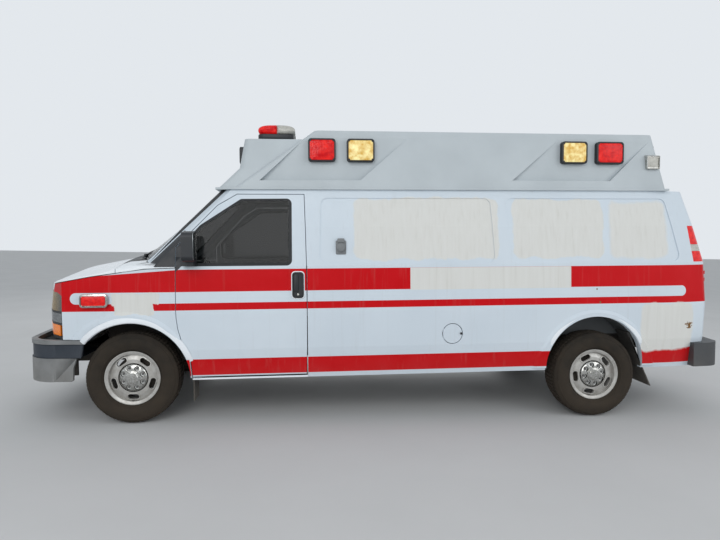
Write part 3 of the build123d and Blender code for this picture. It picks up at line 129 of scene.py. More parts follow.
@dataclass(frozen=True)
class Finish:
    """A finish: its colours, gloss and the size of its mottling and grain.

    The mottle is a slow drift between two colours, such as dust or fading. The grain is a fine relief.
    """

    name: str
    colour: str
    second: str
    roughness: float
    mottle_mm: float = 250.0
    mottle: float = 0.4
    grain_mm: float = 3.0
    grain_depth_mm: float = 0.0
    metallic: float = 0.0
    specular: float = 0.5
    dust: float = 0.0
    dust_colour: str = "#8A8378"
    dust_top_mm: float = 900.0
    glow: float = 0.0
    alpha: float = 1.0
    prism_mm: float = 0.0
    prism_depth_mm: float = 1.5
    under: str = "#1D1D1C"
    under_mm: float = 0.0

    def material(self) -> bpy.types.Material:
        """Returns the Blender material of this finish, made on first use."""
        found = bpy.data.materials.get(self.name)
        if found:
            return found
        material = bpy.data.materials.new(self.name)
        material.use_nodes = True
        tree = material.node_tree
        shader = tree.nodes["Principled BSDF"]
        shader.inputs["Metallic"].default_value = self.metallic
        shader.inputs["Alpha"].default_value = self.alpha
        shader.inputs["Specular IOR Level"].default_value = self.specular
        place = add_node(tree, "TexCoord").outputs["Object"]
        colour, rough = self.surface(tree, place)
        tree.links.new(colour, shader.inputs["Base Color"])
        if self.alpha < 1:
            shader.inputs["Roughness"].default_value = self.roughness
        else:
            tree.links.new(rough, shader.inputs["Roughness"])
        if self.glow:
            tree.links.new(colour, shader.inputs["Emission Color"])
            shader.inputs["Emission Strength"].default_value = self.glow
        relief = self.relief(tree, place)
        if relief is not None:
            tree.links.new(relief, shader.inputs["Normal"])
        material.diffuse_color = linear(self.colour)
        return material

    def surface(self, tree: Tree, place: Socket) -> tuple[Out, Out]:
        """Builds the colour and the roughness.

        Args:
            tree: The material's node tree.
            place: The coordinates the patterns lie on.

        Returns:
            The colour socket and the roughness socket.
        """
        drift = add_node(tree, "TexNoise", {"Vector": place, "Scale": 1000 / self.mottle_mm, "Detail": 6.0})
        share = add_node(
            tree, "MapRange", {0: drift.outputs["Fac"], 1: 0.35, 2: 0.7, 3: 0.0, 4: self.mottle}, clamp=True
        )
        mixed = add_node(
            tree,
            "Mix",
            {0: share, 6: linear(self.colour), 7: linear(self.second)},
            data_type="RGBA",
        ).outputs[2]
        if self.under_mm:
            height = add_node(tree, "SeparateXYZ", {0: place}).outputs["Z"]
            edge = self.under_mm * MM
            below = add_node(tree, "MapRange", {0: height, 1: edge + 0.001, 2: edge - 0.001, 3: 0.0, 4: 1.0})
            mixed = add_node(
                tree, "Mix", {0: below, 6: mixed, 7: linear(self.under)}, data_type="RGBA"
            ).outputs[2]
        colour = self.dusted(tree, place, mixed)
        rough = add_node(
            tree,
            "MapRange",
            {
                0: drift.outputs["Fac"], 1: 0.3, 2: 0.75, 3: max(self.roughness - 0.06, 0.02),
                4: self.roughness + 0.1,
            },
            clamp=True,
        )
        return colour, rough.outputs[0]

    def dusted(self, tree: Tree, place: Socket, colour: Out) -> Out:
        """Lays road dust over a colour, thicker towards the road.

        Args:
            tree: The material's node tree.
            place: The coordinates, whose z is the height in metres.
            colour: The clean colour.

        Returns:
            The dusty colour.
        """
        if not self.dust:
            return colour
        height = add_node(tree, "SeparateXYZ", {0: place}).outputs["Z"]
        low = add_node(
            tree, "MapRange", {0: height, 1: self.dust_top_mm * MM, 2: 0.15, 3: 0.0, 4: self.dust}, clamp=True
        )
        cloud = add_node(
            tree, "TexNoise", {"Vector": place, "Scale": 1000 / 180, "Detail": 8.0, "Roughness": 0.65}
        )
        thick = add_node(
            tree, "MapRange", {0: cloud.outputs["Fac"], 1: 0.3, 2: 0.7, 3: 0.45, 4: 1.0}, clamp=True
        )
        share = add_node(tree, "Math", {0: low, 1: thick}, operation="MULTIPLY")
        mixed = add_node(tree, "Mix", {0: share, 6: colour, 7: linear(self.dust_colour)}, data_type="RGBA")
        return mixed.outputs[2]

    def relief(self, tree: Tree, place: Socket) -> Optional[Out]:
        """Builds the fine relief.

        Args:
            tree: The material's node tree.
            place: The coordinates the patterns lie on.

        Returns:
            The normal, or None where the finish is smooth.
        """
        if self.prism_mm:
            cells = {"Vector": place, "Scale": 1000 / self.prism_mm, "Randomness": 0.0}
            height = add_node(tree, "TexVoronoi", cells, distance="CHEBYCHEV").outputs["Distance"]
            depth = self.prism_depth_mm
        elif self.grain_depth_mm:
            grain = {"Vector": place, "Scale": 1000 / self.grain_mm, "Detail": 3.0}
            height = add_node(tree, "TexNoise", grain).outputs["Fac"]
            depth = self.grain_depth_mm
        else:
            return None
        return add_node(
            tree, "Bump", {"Height": height, "Distance": depth * MM, "Strength": 1.0}
        ).outputs["Normal"]


def plate(
    tree: Tree, place: Socket, low: Spot, high: Spot, radius: float = 2.0, soft: float = 1.0
) -> Out:
    """Adds the mask of a flat plate with round corners.

    Args:
        tree: The material's node tree.
        place: Coordinates in mm.
        low: Lowest x and z of the plate.
        high: Highest x and z.
        radius: Radius of its corners.
        soft: Half the width of its soft edge.

    Returns:
        A socket that is 1 inside the plate and 0 outside it.
    """
    middle = ((low[0] + high[0]) / 2, 0.0, (low[1] + high[1]) / 2)
    core = ((high[0] - low[0]) / 2 - radius, 1e5, (high[1] - low[1]) / 2 - radius)
    offset = add_node(tree, "VectorMath", {0: place, 1: middle}, operation="SUBTRACT")
    folded = add_node(tree, "VectorMath", {0: offset}, operation="ABSOLUTE")
    past = add_node(tree, "VectorMath", {0: folded, 1: core}, operation="SUBTRACT")
    outside = add_node(tree, "VectorMath", {0: past, 1: (0.0, 0.0, 0.0)}, operation="MAXIMUM")
    reach = add_node(tree, "VectorMath", {0: outside}, operation="LENGTH").outputs["Value"]
    return add_node(
        tree, "MapRange", {0: reach, 1: radius + soft, 2: radius - soft, 3: 0.0, 4: 1.0}
    ).outputs[0]


@dataclass(frozen=True)
class Patch:
    """Bare primer on the left side: lowest and highest x and z, corner radius and softness of its edge."""

    low: Spot
    high: Spot
    radius: float = 30.0
    soft: float = 7.0
    ragged: bool = True


@dataclass(frozen=True)
class Livery(Finish):
    """White enamel with red stripes, primer where films came off, and road dirt."""

    red: str = "#BE0209"
    faded_red: str = "#C9121C"
    primer: str = "#DBDCD9"
    second_primer: str = "#D1D1CC"
    rain_dirt: str = "#9B988F"
    road_dirt: str = "#77716A"
    scar: str = "#7A5C3A"
    stripe: Spot = (928.0, 1258.0)
    sill: Spot = (386.0, 522.0)
    slot: tuple[float, float, float, float] = (-4766.0, 466.0, 986.0, 1077.0)
    patches: tuple[Patch, ...] = (
        Patch((-3698.0, 1071.0), (-2289.0, 1257.0), 4.0, 2.0, False),
        Patch((-3065.0, 1326.0), (-1818.0, 1845.0), 60.0),
        Patch((-4012.0, 1330.0), (-3190.0, 1840.0), 60.0),
        Patch((-4600.0, 1322.0), (-4070.0, 1815.0), 50.0, 14.0),
        Patch((-4840.0, 508.0), (-4345.0, 926.0), 40.0, 10.0),
        Patch((-236.0, 985.0), (150.0, 1066.0), 14.0, 3.0),
        Patch((-192.0, 900.0), (126.0, 1010.0), 14.0, 3.0),
    )
    marks: tuple[Patch, ...] = (
        Patch((-4826.0, 694.0), (-4782.0, 748.0), 6.0, 3.0),
        Patch((-3970.0, 934.0), (-3954.0, 950.0), 8.0, 2.0, False),
        Patch((-3939.0, 1049.0), (-3925.0, 1063.0), 7.0, 2.0, False),
    )

    def surface(self, tree: Tree, place: Socket) -> tuple[Out, Out]:
        """Builds the white ground, the stripes, the patches and the dirt over them.

        Args:
            tree: The material's node tree.
            place: The coordinates the patterns lie on.

        Returns:
            The colour socket and the roughness socket.
        """
        white, rough = super().surface(tree, place)
        body = add_node(
            tree,
            "Mapping",
            {
                "Vector": place, "Location": tuple(SPRUNG.translation), "Rotation": (0, RAKE, 0),
                "Scale": (MM, MM, MM),
            },
            vector_type="TEXTURE",
        ).outputs[0]
        x, y, z = add_node(tree, "SeparateXYZ", {0: body}).outputs
        left = add_node(tree, "MapRange", {0: y, 1: 0.0, 2: 1.0, 3: 0.0, 4: 1.0}).outputs[0]
        sheet = add_node(
            tree, "TexNoise", {"Vector": body, "Scale": 1 / 150, "Detail": 5.0, "Roughness": 0.55}
        )
        ragged = self.swayed(tree, body, sheet, (70.0, 0.0, 90.0))
        bare = self.spots(tree, self.patches, body, ragged, left)
        # Inner faces of the panels stay plain: only what faces away from the vehicle's middle has stripes
        middle = (-2200.0, 0.0, 1100.0)
        reach = add_node(tree, "VectorMath", {0: body, 1: middle}, operation="SUBTRACT").outputs[0]
        level = add_node(tree, "VectorMath", {0: reach, 1: (0.2, 1.0, 0.0)}, operation="MULTIPLY").outputs[0]
        faces = add_node(tree, "TexCoord").outputs["Normal"]
        outward = add_node(tree, "VectorMath", {0: level, 1: faces}, operation="DOT_PRODUCT").outputs["Value"]
        outer = add_node(tree, "Math", {0: outward, 1: 0.0}, operation="GREATER_THAN").outputs[0]
        red = add_node(
            tree, "Math", {0: self.stripes(tree, body, x), 1: outer}, operation="MULTIPLY"
        ).outputs[0]
        bare = add_node(tree, "Math", {0: bare, 1: outer}, operation="MULTIPLY").outputs[0]
        reds = add_node(
            tree,
            "Mix",
            {0: sheet.outputs["Fac"], 6: linear(self.red), 7: linear(self.faded_red)},
            data_type="RGBA",
        ).outputs[2]
        rain = add_node(tree, "Mapping", {"Vector": body, "Scale": (1 / 26, 1 / 26, 1 / 800)})
        streak = add_node(tree, "TexNoise", {"Vector": rain, "Scale": 1.0, "Detail": 4.0}).outputs["Fac"]
        primer = add_node(
            tree, "Mix", {0: streak, 6: linear(self.primer), 7: linear(self.second_primer)}, data_type="RGBA"
        ).outputs[2]
        run = add_node(tree, "MapRange", {0: streak, 1: 0.58, 2: 0.85, 3: 0.0, 4: 0.12}).outputs[0]
        low = add_node(tree, "MapRange", {0: z, 1: 560.0, 2: 350.0, 3: 0.0, 4: 0.16}).outputs[0]
        splash = add_node(tree, "Math", {0: low, 1: sheet.outputs["Fac"]}, operation="MULTIPLY").outputs[0]
        flake = add_node(tree, "TexNoise", {"Vector": body, "Scale": 1 / 24, "Detail": 3.0, "Roughness": 0.6})
        torn = self.swayed(tree, body, flake, (130.0, 0.0, 150.0))
        marks = self.spots(tree, self.marks, body, torn, left)
        colour = white
        for share, over in (
            (red, reds), (bare, primer), (run, linear(self.rain_dirt)), (splash, linear(self.road_dirt)),
            (marks, linear(self.scar)),
        ):
            colour = add_node(tree, "Mix", {0: share, 6: colour, 7: over}, data_type="RGBA").outputs[2]
        dull = add_node(tree, "Math", {0: bare, 1: 0.28, 2: rough}, operation="MULTIPLY_ADD").outputs[0]
        return colour, dull

    def swayed(self, tree: Tree, body: Out, noise: bpy.types.Node, reach: Corner) -> Out:
        """Moves coordinates about by a noise, so that an edge drawn on them turns ragged.

        Args:
            tree: The material's node tree.
            body: Coordinates in mm.
            noise: The noise node.
            reach: Full width of the movement in mm.

        Returns:
            The moved coordinates.
        """
        ways = {0: noise.outputs["Color"], 1: reach, 2: tuple(-r / 2 for r in reach)}
        sway = add_node(tree, "VectorMath", ways, operation="MULTIPLY_ADD")
        return add_node(tree, "VectorMath", {0: body, 1: sway}, operation="ADD").outputs[0]

    def spots(self, tree: Tree, patches: Sequence[Patch], body: Out, ragged: Out, side: Out) -> Out:
        """Adds the mask of several patches of one side.

        Args:
            tree: The material's node tree.
            patches: The patches.
            body: Coordinates in mm.
            ragged: The same, swayed by noise.
            side: 1 on the side that has the patches.

        Returns:
            The mask.
        """
        total: Socket = 0.0
        for patch in patches:
            spot = plate(
                tree, ragged if patch.ragged else body, patch.low, patch.high, patch.radius, patch.soft
            )
            total = add_node(tree, "Math", {0: total, 1: spot}, operation="MAXIMUM").outputs[0]
        return add_node(tree, "Math", {0: total, 1: side}, operation="MULTIPLY").outputs[0]

    def stripes(self, tree: Tree, body: Out, x: Out) -> Out:
        """Adds the mask of the stripe, with its long slot and sloping top, and of the sill's stripe."""
        rear_rise = add_node(tree, "MapRange", {0: x, 1: -405.0, 2: 310.0, 3: 0.0, 4: 49.0})
        nose_rise = add_node(tree, "MapRange", {0: x, 1: 310.0, 2: 646.0, 3: 0.0, 4: 60.0})
        rise = add_node(tree, "Math", {0: rear_rise, 1: nose_rise}, operation="ADD")
        lift = add_node(tree, "CombineXYZ", {2: rise})
        lifted = add_node(tree, "VectorMath", {0: body, 1: lift}, operation="ADD").outputs[0]
        below_top = plate(tree, lifted, (-6000.0, 0.0), (1000.0, self.stripe[1]))
        above_foot = plate(tree, body, (-6000.0, self.stripe[0]), (1000.0, 3000.0))
        x0, x1, z0, z1 = self.slot
        slot = plate(tree, body, (x0, z0), (x1, z1), (z1 - z0) / 2 - 1)
        band = add_node(tree, "Math", {0: below_top, 1: above_foot}, operation="MULTIPLY")
        band = add_node(tree, "Math", {0: band, 1: slot}, operation="SUBTRACT", use_clamp=True)
        sill = plate(tree, body, (-6000.0, self.sill[0]), (-400.0, self.sill[1]))
        return add_node(tree, "Math", {0: band, 1: sill}, operation="MAXIMUM").outputs[0]


@dataclass(frozen=True)
class FadedLens(Finish):
    """Clouded lamp lens, yellowed towards the nose and dark in its rear corner."""

    gold: str = "#B89A5E"
    from_x: float = 560.0
    to_x: float = 760.0

    def surface(self, tree: Tree, place: Socket) -> tuple[Out, Out]:
        """Builds the drift from dark to yellowed plastic along the vehicle."""
        colour, rough = super().surface(tree, place)
        x = add_node(tree, "SeparateXYZ", {0: place}).outputs["X"]
        first, last = ((FRONT_AXLE_X + at) * MM for at in (self.from_x, self.to_x))
        share = add_node(tree, "MapRange", {0: x, 1: first, 2: last, 3: 0.0, 4: 0.85}).outputs[0]
        mixed = add_node(tree, "Mix", {0: share, 6: colour, 7: linear(self.gold)}, data_type="RGBA")
        return mixed.outputs[2], rough


# Stoving enamel on pressed steel, twenty years old: its soft gloss shows broad pale reflections
ENAMEL = Livery("body_enamel", "#D0DAE2", "#C6D1DA", 0.34, mottle_mm=700.0, mottle=0.7, specular=0.12)
# The same enamel without stripes, lighter: a lit copy as painted highlight on the hood, the doors' lids, the
# cowl's ends, the rockers, the arch lips and the handle rings, where light falls brightest
LIT_ENAMEL = Finish("lit_white_enamel", "#EAEFF3", "#DFE5EA", 0.32, mottle_mm=500.0, mottle=0.7, specular=0.3)
# Moulded gel coat over glass fibre: greyer and chalky, with a faint orange-peel relief
GELCOAT = Finish(
    "moulded_gelcoat", "#BCC4C8", "#B0B8BC", 0.45, mottle_mm=420.0, mottle=0.8, grain_mm=14.0,
    grain_depth_mm=0.25, specular=0.2,
)
# Float glass with a dark grey-green tint, deepened to near black as painted shade of the unlit cab: the cab
# behind it shows dimly
TINT_AND_SHADE_GLASS = Finish(
    "tinted_float_glass", "#0B0E0C", "#101411", 0.02, mottle_mm=400.0, mottle=0.3, specular=0.2, alpha=0.62
)
# Extruded EPDM rubber seals: matt, near black, chalked in places
SEAL = Finish("rubber_seal", "#15171A", "#24272A", 0.62, mottle_mm=60.0, grain_mm=2.0, grain_depth_mm=0.15)
# Moulded polypropylene with a fine leather grain, greyed by the sun
BLACK = Finish(
    "grained_polypropylene", "#1B1E22", "#2C3035", 0.5, mottle_mm=90.0, grain_mm=1.6, grain_depth_mm=0.12,
    dust=0.2
)
# Painted steel and plastic bumper skins, weathered matt and splashed from the road
BUMPER = Finish(
    "weathered_bumper", "#7C7F81", "#666A6C", 0.55, mottle_mm=120.0, mottle=0.8, grain_mm=4.0,
    grain_depth_mm=0.12, dust=0.5,
)
SLATE = Finish(
    "slate_band", "#28313C", "#222A34", 0.55, mottle_mm=80.0, grain_mm=2.0, grain_depth_mm=0.12, dust=0.1
)
DARK_BUMPER = Finish(
    "dark_bumper", "#2B3138", "#3B4148", 0.55, mottle_mm=80.0, grain_mm=2.5, grain_depth_mm=0.15, dust=0.4
)
# Pressed steel wheels in silver lacquer, dulled by brown brake dust
WHEEL = Finish(
    "silver_wheel", "#BCBBB7", "#9F9C96", 0.36, mottle_mm=45.0, mottle=0.7, metallic=0.35, grain_mm=2.0,
    grain_depth_mm=0.05, dust=0.15, dust_colour="#6B6156",
)
# Chrome plate with water spots, which break up its bright reflections
CHROME = Finish("worn_chrome", "#C9C9C6", "#8A8880", 0.16, mottle_mm=14.0, mottle=0.8, metallic=1.0)
# Brushed stainless steel of scuff plates
STAINLESS = Finish(
    "stainless_steel", "#A8AAAB", "#909293", 0.32, mottle_mm=70.0, metallic=1.0, grain_mm=3.0,
    grain_depth_mm=0.05
)
# Black chassis paint with rust coming through at the edges
CAST = Finish(
    "frame_black", "#1C1B1A", "#3A332C", 0.72, mottle_mm=90.0, mottle=0.8, grain_mm=6.0, grain_depth_mm=0.4,
    dust=0.35
)
# Aluminised exhaust tube, heat-browned
RUSTY = Finish(
    "exhaust_steel", "#5A534C", "#6B4A33", 0.6, mottle_mm=60.0, mottle=0.9, metallic=0.6, grain_mm=3.0,
    grain_depth_mm=0.2,
)
# Grey cast iron with oily dirt
ENGINE = Finish("engine_iron", "#33312F", "#4B4742", 0.65, mottle_mm=60.0, grain_mm=8.0, grain_depth_mm=0.5)
# Reinforced flap rubber, scuffed and dusty
RUBBER = Finish(
    "flap_rubber", "#191A1B", "#3A3935", 0.75, mottle_mm=50.0, grain_mm=3.0, grain_depth_mm=0.3, dust=0.4
)
# Tyre rubber with a film of dried brown mud
TYRE = Finish(
    "tyre_rubber", "#211E1A", "#352F28", 0.85, mottle_mm=110.0, mottle=0.9, grain_mm=2.5, grain_depth_mm=0.25,
    dust=0.6, dust_colour="#443B31", dust_top_mm=820.0, specular=0.25,
)
# Sheet flooring inside and stone-chip coating below it
STEEL = Finish(
    "floor_sheet", "#5D6062", "#505355", 0.5, mottle_mm=200.0, grain_mm=5.0, grain_depth_mm=0.1,
    under_mm=618.0
)
# Injection-moulded cab trim with a matt grain
TRIM = Finish("grey_trim", "#34373A", "#3F4245", 0.62, mottle_mm=150.0, grain_mm=1.2, grain_depth_mm=0.15)
# Coated seat fabric: a soft sheen over a pebbled grain
VINYL = Finish(
    "coated_seat_fabric", "#3C3F45", "#33363B", 0.48, mottle_mm=120.0, grain_mm=3.0, grain_depth_mm=0.3
)
# Melamine-faced board of the fitted cabinets
LAMINATE = Finish(
    "white_laminate", "#C9C9C3", "#BEBDB6", 0.38, mottle_mm=300.0, grain_mm=3.0, grain_depth_mm=0.03
)
GRILLE = Finish(
    "grille_grey", "#4A4D50", "#3A3D40", 0.5, mottle_mm=60.0, grain_mm=1.5, grain_depth_mm=0.1, dust=0.3
)
# Polycarbonate lamp lenses with moulded prisms, which catch the light in small squares
RED_LENS = Finish(
    "red_polycarbonate", "#B5020C", "#E0241C", 0.14, mottle_mm=34.0, mottle=0.9, specular=0.3, glow=0.3,
    prism_mm=13.0, prism_depth_mm=2.2,
)
AMBER_LENS = Finish(
    "amber_polycarbonate", "#E0700E", "#F09030", 0.14, mottle_mm=30.0, mottle=0.7, specular=0.3, glow=0.2,
    prism_mm=11.0,
)
WARM_LENS = Finish(
    "warm_polycarbonate", "#C9A04C", "#F2E6A8", 0.14, mottle_mm=42.0, mottle=1.0, specular=0.3, glow=0.3,
    prism_mm=14.0, prism_depth_mm=2.2,
)
CLEAR_LENS = Finish(
    "clear_polycarbonate", "#BFBEB6", "#A3A29B", 0.16, mottle_mm=22.0, mottle=0.8, prism_mm=9.0
)
CLOUDY_LENS = FadedLens(
    "clouded_polycarbonate", "#3E3D38", "#5C5547", 0.25, mottle_mm=60.0, mottle=0.9, prism_mm=16.0
)
DARK_CLEAR = Finish("park_lens", "#6E7274", "#4E5255", 0.18, mottle_mm=25.0, mottle=0.8, prism_mm=10.0)
# Painted shade: near-black colour put in the hollows behind openings, so a recess stays dark
PAINTED_SHADE = Finish("painted_shade_hollow", "#050505", "#0B0A09", 0.8, mottle_mm=20.0, specular=0.1)
# Silvered glass of the mirrors
MIRROR = Finish("mirror_glass", "#C7CCCE", "#BDC2C4", 0.03, metallic=1.0, mottle=0.2)
# Painted aluminium plate, left blank
PLATE = Finish("blank_plate", "#C4C6C4", "#B4B6B3", 0.42, mottle_mm=60.0, grain_mm=5.0, grain_depth_mm=0.1)
# Dried yellowish mud on a flap
MUD = Finish(
    "dried_mud", "#8C8A62", "#77765A", 0.85, mottle_mm=16.0, mottle=1.0, grain_mm=3.0, grain_depth_mm=0.6
)

NODE_FINISHES: dict[Finish, tuple[str, ...]] = {
    ENAMEL: (
        "front_door_left", "front_door_right", "side_panel_left", "side_panel_right", "fuel_door",
        "side_door_front", "side_door_rear", "cab_frame", "rear_frame", "rear_door_left", "rear_door_right",
        "fenders",
    ),
    # Painted highlight: the hood takes the lighter, lit copy of the enamel
    LIT_ENAMEL: ("hood",),
    GELCOAT: ("raised_roof",),
    # Panes: real tint with painted shade of the cab behind
    TINT_AND_SHADE_GLASS: (
        "front_door_glass_left", "front_door_glass_right", "side_door_glass_front", "side_door_glass_rear",
        "windshield", "rear_door_glass_left", "rear_door_glass_right",
    ),
    BLACK: ("mirror_left", "mirror_right", "fuel_tank", "steering_wheel"),
    GRILLE: ("grille",),
    BUMPER: ("front_bumper",),
    DARK_BUMPER: ("rear_bumper",),
    WHEEL: ("wheel_front_left", "wheel_front_right", "wheel_rear_left", "wheel_rear_right"),
    CAST: (
        "knuckle_left", "knuckle_right", "front_suspension", "rear_axle", "leaf_springs", "chassis_frame",
        "firewall",
    ),
    ENGINE: ("powertrain",),
    RUSTY: ("exhaust",),
    RUBBER: ("mud_flaps",),
    STEEL: ("floor",),
    TRIM: ("engine_cover", "dashboard"),
    LAMINATE: ("partition", "cabinets"),
    VINYL: ("seats", "bench_pad"),
    CLOUDY_LENS: ("headlamps",),
    RED_LENS: ("tail_lamps", "warning_lamps", "beacon_bar"),
}


def deselect() -> None:
    """Leaves edit mode and clears the selection."""
    if bpy.context.object and bpy.context.object.mode != "OBJECT":
        object_mode()
    bpy.ops.object.select_all(action="DESELECT")


def object_mode() -> None:
    """Leaves edit mode."""
    bpy.ops.object.mode_set(mode="OBJECT")


def pick(obj: Piece) -> None:
    """Makes one object the only selected and active one."""
    deselect()
    obj.select_set(True)
    bpy.context.view_layer.objects.active = obj


def vector(point: Sequence[float]) -> Vector:
    """A point in mm as a vector in metres."""
    return Vector(point) * MM


def along(axis: int, outward: int) -> Corner:
    """Unit vector along an axis, one way or the other."""
    return tuple(outward if i == axis else 0 for i in range(3))


def edit(obj: Piece, mode: str = "FACE") -> None:
    """Enters edit mode with everything selected.

    Args:
        obj: The object.
        mode: VERT, EDGE or FACE.
    """
    pick(obj)
    bpy.ops.object.mode_set(mode="EDIT")
    bpy.ops.mesh.select_mode(type=mode)
    bpy.ops.mesh.select_all(action="SELECT")


def choose_faces(obj: Piece, test: Callable[[Vector, Vector], bool]) -> None:
    """Enters edit mode with only the faces selected whose centre in mm and normal pass a test.

    Args:
        obj: The object.
        test: Takes the centre and the normal.
    """
    edit(obj)
    bpy.ops.mesh.select_all(action="DESELECT")
    object_mode()
    for face in obj.data.polygons:
        face.select = test(face.center / MM, face.normal)
    bpy.ops.object.mode_set(mode="EDIT")


def choose_edges(obj: Piece, test: Callable[[Vector, Vector], bool]) -> None:
    """Enters edit mode with only the edges selected whose two ends in mm pass a test."""
    edit(obj, "EDGE")
    bpy.ops.mesh.select_all(action="DESELECT")
    object_mode()
    points = obj.data.vertices
    for line in obj.data.edges:
        first, last = (points[i].co / MM for i in line.vertices)
        line.select = test(first, last)
    bpy.ops.object.mode_set(mode="EDIT")


def modify(obj: Piece, kind: str, **settings: object) -> Piece:
    """Adds a modifier with its settings and applies it."""
    pick(obj)
    modifier = obj.modifiers.new(kind.title(), kind)
    for name, value in settings.items():
        setattr(modifier, name, value)
    bpy.ops.object.modifier_apply(modifier=modifier.name)
    return obj


def round_edges(obj: Piece, width: float, segments: int = 2) -> Piece:
    """Rounds the sharp edges by a width in mm."""
    return modify(
        obj, "BEVEL", width=width * MM, segments=segments, limit_method="ANGLE",
        angle_limit=math.radians(35),
    )


def smooth(obj: Piece, angle: float = 35.0) -> Piece:
    """Shades smooth across edges below an angle in degrees."""
    pick(obj)
    bpy.ops.object.shade_smooth_by_angle(angle=math.radians(angle))
    return obj


def close(obj: Piece) -> Piece:
    """Turns all faces of a piece in edit mode outwards and leaves edit mode."""
    bpy.ops.mesh.select_all(action="SELECT")
    bpy.ops.mesh.normals_make_consistent(inside=False)
    object_mode()
    return obj


def pressed(obj: Piece, facing: Corner, *steps: Spot) -> Piece:
    """Insets the faces that look one way and moves them in or out, step after step.

    Args:
        obj: The piece.
        facing: The way the faces look, as a unit vector.
        steps: For each step the width of the rim and how far the faces then move that way, in mm.

    Returns:
        The piece.
    """
    choose_faces(obj, lambda centre, normal: normal.dot(Vector(facing)) > SQUARE_ON)
    for rim, depth in steps:
        bpy.ops.mesh.inset(thickness=rim * MM)
        bpy.ops.mesh.extrude_region_move(TRANSFORM_OT_translate={"value": vector(facing) * depth})
    object_mode()
    return obj


def cube(name: str, low: Corner, high: Corner) -> Piece:
    """Adds a block between two corners in mm.

    Args:
        name: Name of the piece.
        low: One corner.
        high: The opposite corner.

    Returns:
        The block, with its place in its mesh.
    """
    deselect()
    first, last = vector(low), vector(high)
    bpy.ops.mesh.primitive_cube_add(size=1, location=(first + last) / 2)
    obj = bpy.context.object
    obj.name = name
    obj.scale = [abs(b - a) for a, b in zip(first, last)]
    bpy.ops.object.transform_apply(location=True, rotation=False, scale=True)
    return obj


def rounded_box(name: str, low: Corner, high: Corner, axis: int, radius: float, edge: float = 2.0) -> Piece:
    """Adds a block whose four edges along one axis have a large radius and whose others a small one.

    Args:
        name: Name of the piece.
        low: One corner in mm.
        high: The opposite corner.
        axis: 0, 1 or 2 for x, y or z.
        radius: Radius of the four edges.
        edge: Radius of the other edges.

    Returns:
        The block.
    """
    obj = cube(name, low, high)
    others = [i for i in range(3) if i != axis]
    choose_edges(obj, lambda a, b: all(abs(a[i] - b[i]) < 0.01 for i in others))
    bpy.ops.mesh.bevel(offset=radius * MM, segments=6)
    object_mode()
    return round_edges(obj, edge) if edge else obj


def disc(name: str, centre: Corner, radius: float, depth: float, axis: int, sides: int = 32) -> Piece:
    """Adds a round bar along an axis.

    Args:
        name: Name of the piece.
        centre: Its middle in mm.
        radius: Its radius.
        depth: Its length.
        axis: 0, 1 or 2 for x, y or z.
        sides: Number of its sides.

    Returns:
        The bar.
    """
    deselect()
    turn = ((0, math.pi / 2, 0), (math.pi / 2, 0, 0), (0, 0, 0))[axis]
    bpy.ops.mesh.primitive_cylinder_add(
        vertices=sides, radius=radius * MM, depth=depth * MM, location=vector(centre), rotation=turn
    )
    obj = bpy.context.object
    obj.name = name
    bpy.ops.object.transform_apply(location=True, rotation=True, scale=True)
    return obj


def lathe(name: str, profile: Sequence[tuple[float, float]], steps: int = 64) -> Piece:
    """Turns a profile about the y axis.

    Args:
        name: Name of the piece.
        profile: Radius and y of each point, in mm.
        steps: Number of steps of a full turn.

    Returns:
        The turned shell, closed where its profile starts and ends on the axis or on itself.
    """
    obj = wire(name, [(radius, y, 0.0) for radius, y in profile])
    bpy.ops.mesh.select_all(action="SELECT")
    bpy.ops.mesh.spin(steps=steps, angle=2 * math.pi, center=(0, 0, 0), axis=(0, 1, 0))
    bpy.ops.mesh.select_all(action="SELECT")
    bpy.ops.mesh.remove_doubles(threshold=0.00002)
    return close(obj)


def moved(obj: Piece, matrix: Matrix) -> Piece:
    """Moves a piece by a matrix and puts the place into its mesh."""
    obj.matrix_world = matrix @ obj.matrix_world
    pick(obj)
    bpy.ops.object.transform_apply(location=True, rotation=True, scale=True)
    if matrix.determinant() < 0:
        edit(obj)
        bpy.ops.mesh.flip_normals()
        object_mode()
    return obj


def twin(obj: Piece, name: str, matrix: Matrix) -> Piece:
    """Copies a piece with its own mesh and moves the copy by a matrix in metres."""
    pick(obj)
    bpy.ops.object.duplicate(linked=False)
    copy = bpy.context.object
    copy.name = name
    return moved(copy, matrix)


def joined(name: str, pieces: Sequence[Piece]) -> Piece:
    """Joins pieces into one mesh."""
    deselect()
    for piece in pieces:
        piece.select_set(True)
    bpy.context.view_layer.objects.active = pieces[0]
    if len(pieces) > 1:
        bpy.ops.object.join()
    pieces[0].name = name
    return pieces[0]


def ring(obj: Piece, count: int, name: str) -> Piece:
    """Repeats a piece round the y axis."""
    deselect()
    bpy.ops.object.empty_add(rotation=(0, 2 * math.pi / count, 0))
    pivot = bpy.context.object
    modify(obj, "ARRAY", count=count, use_relative_offset=False, use_object_offset=True, offset_object=pivot)
    remove(pivot)
    obj.name = name
    return obj


def remove(obj: Piece) -> None:
    """Deletes a helper piece."""
    pick(obj)
    bpy.ops.object.delete()


def cut(obj: Piece, cutter: Piece) -> Piece:
    """Takes one piece's volume out of another and deletes the cutter."""
    modify(obj, "BOOLEAN", operation="DIFFERENCE", object=cutter, solver="EXACT")
    remove(cutter)
    return obj


def wire(name: str, points: Sequence[Corner]) -> Piece:
    """Adds a line of edges from point to point, in edit mode with its last point selected.

    Args:
        name: Name of the piece.
        points: The points in mm.

    Returns:
        The line.
    """
    deselect()
    bpy.ops.mesh.primitive_plane_add(size=MM)
    obj = bpy.context.object
    obj.name = name
    edit(obj, "VERT")
    bpy.ops.mesh.merge(type="CENTER")
    bpy.ops.transform.translate(value=vector(points[0]))
    for here, there in zip(points, points[1:]):
        bpy.ops.mesh.extrude_region_move(TRANSFORM_OT_translate={"value": vector(there) - vector(here)})
    return obj


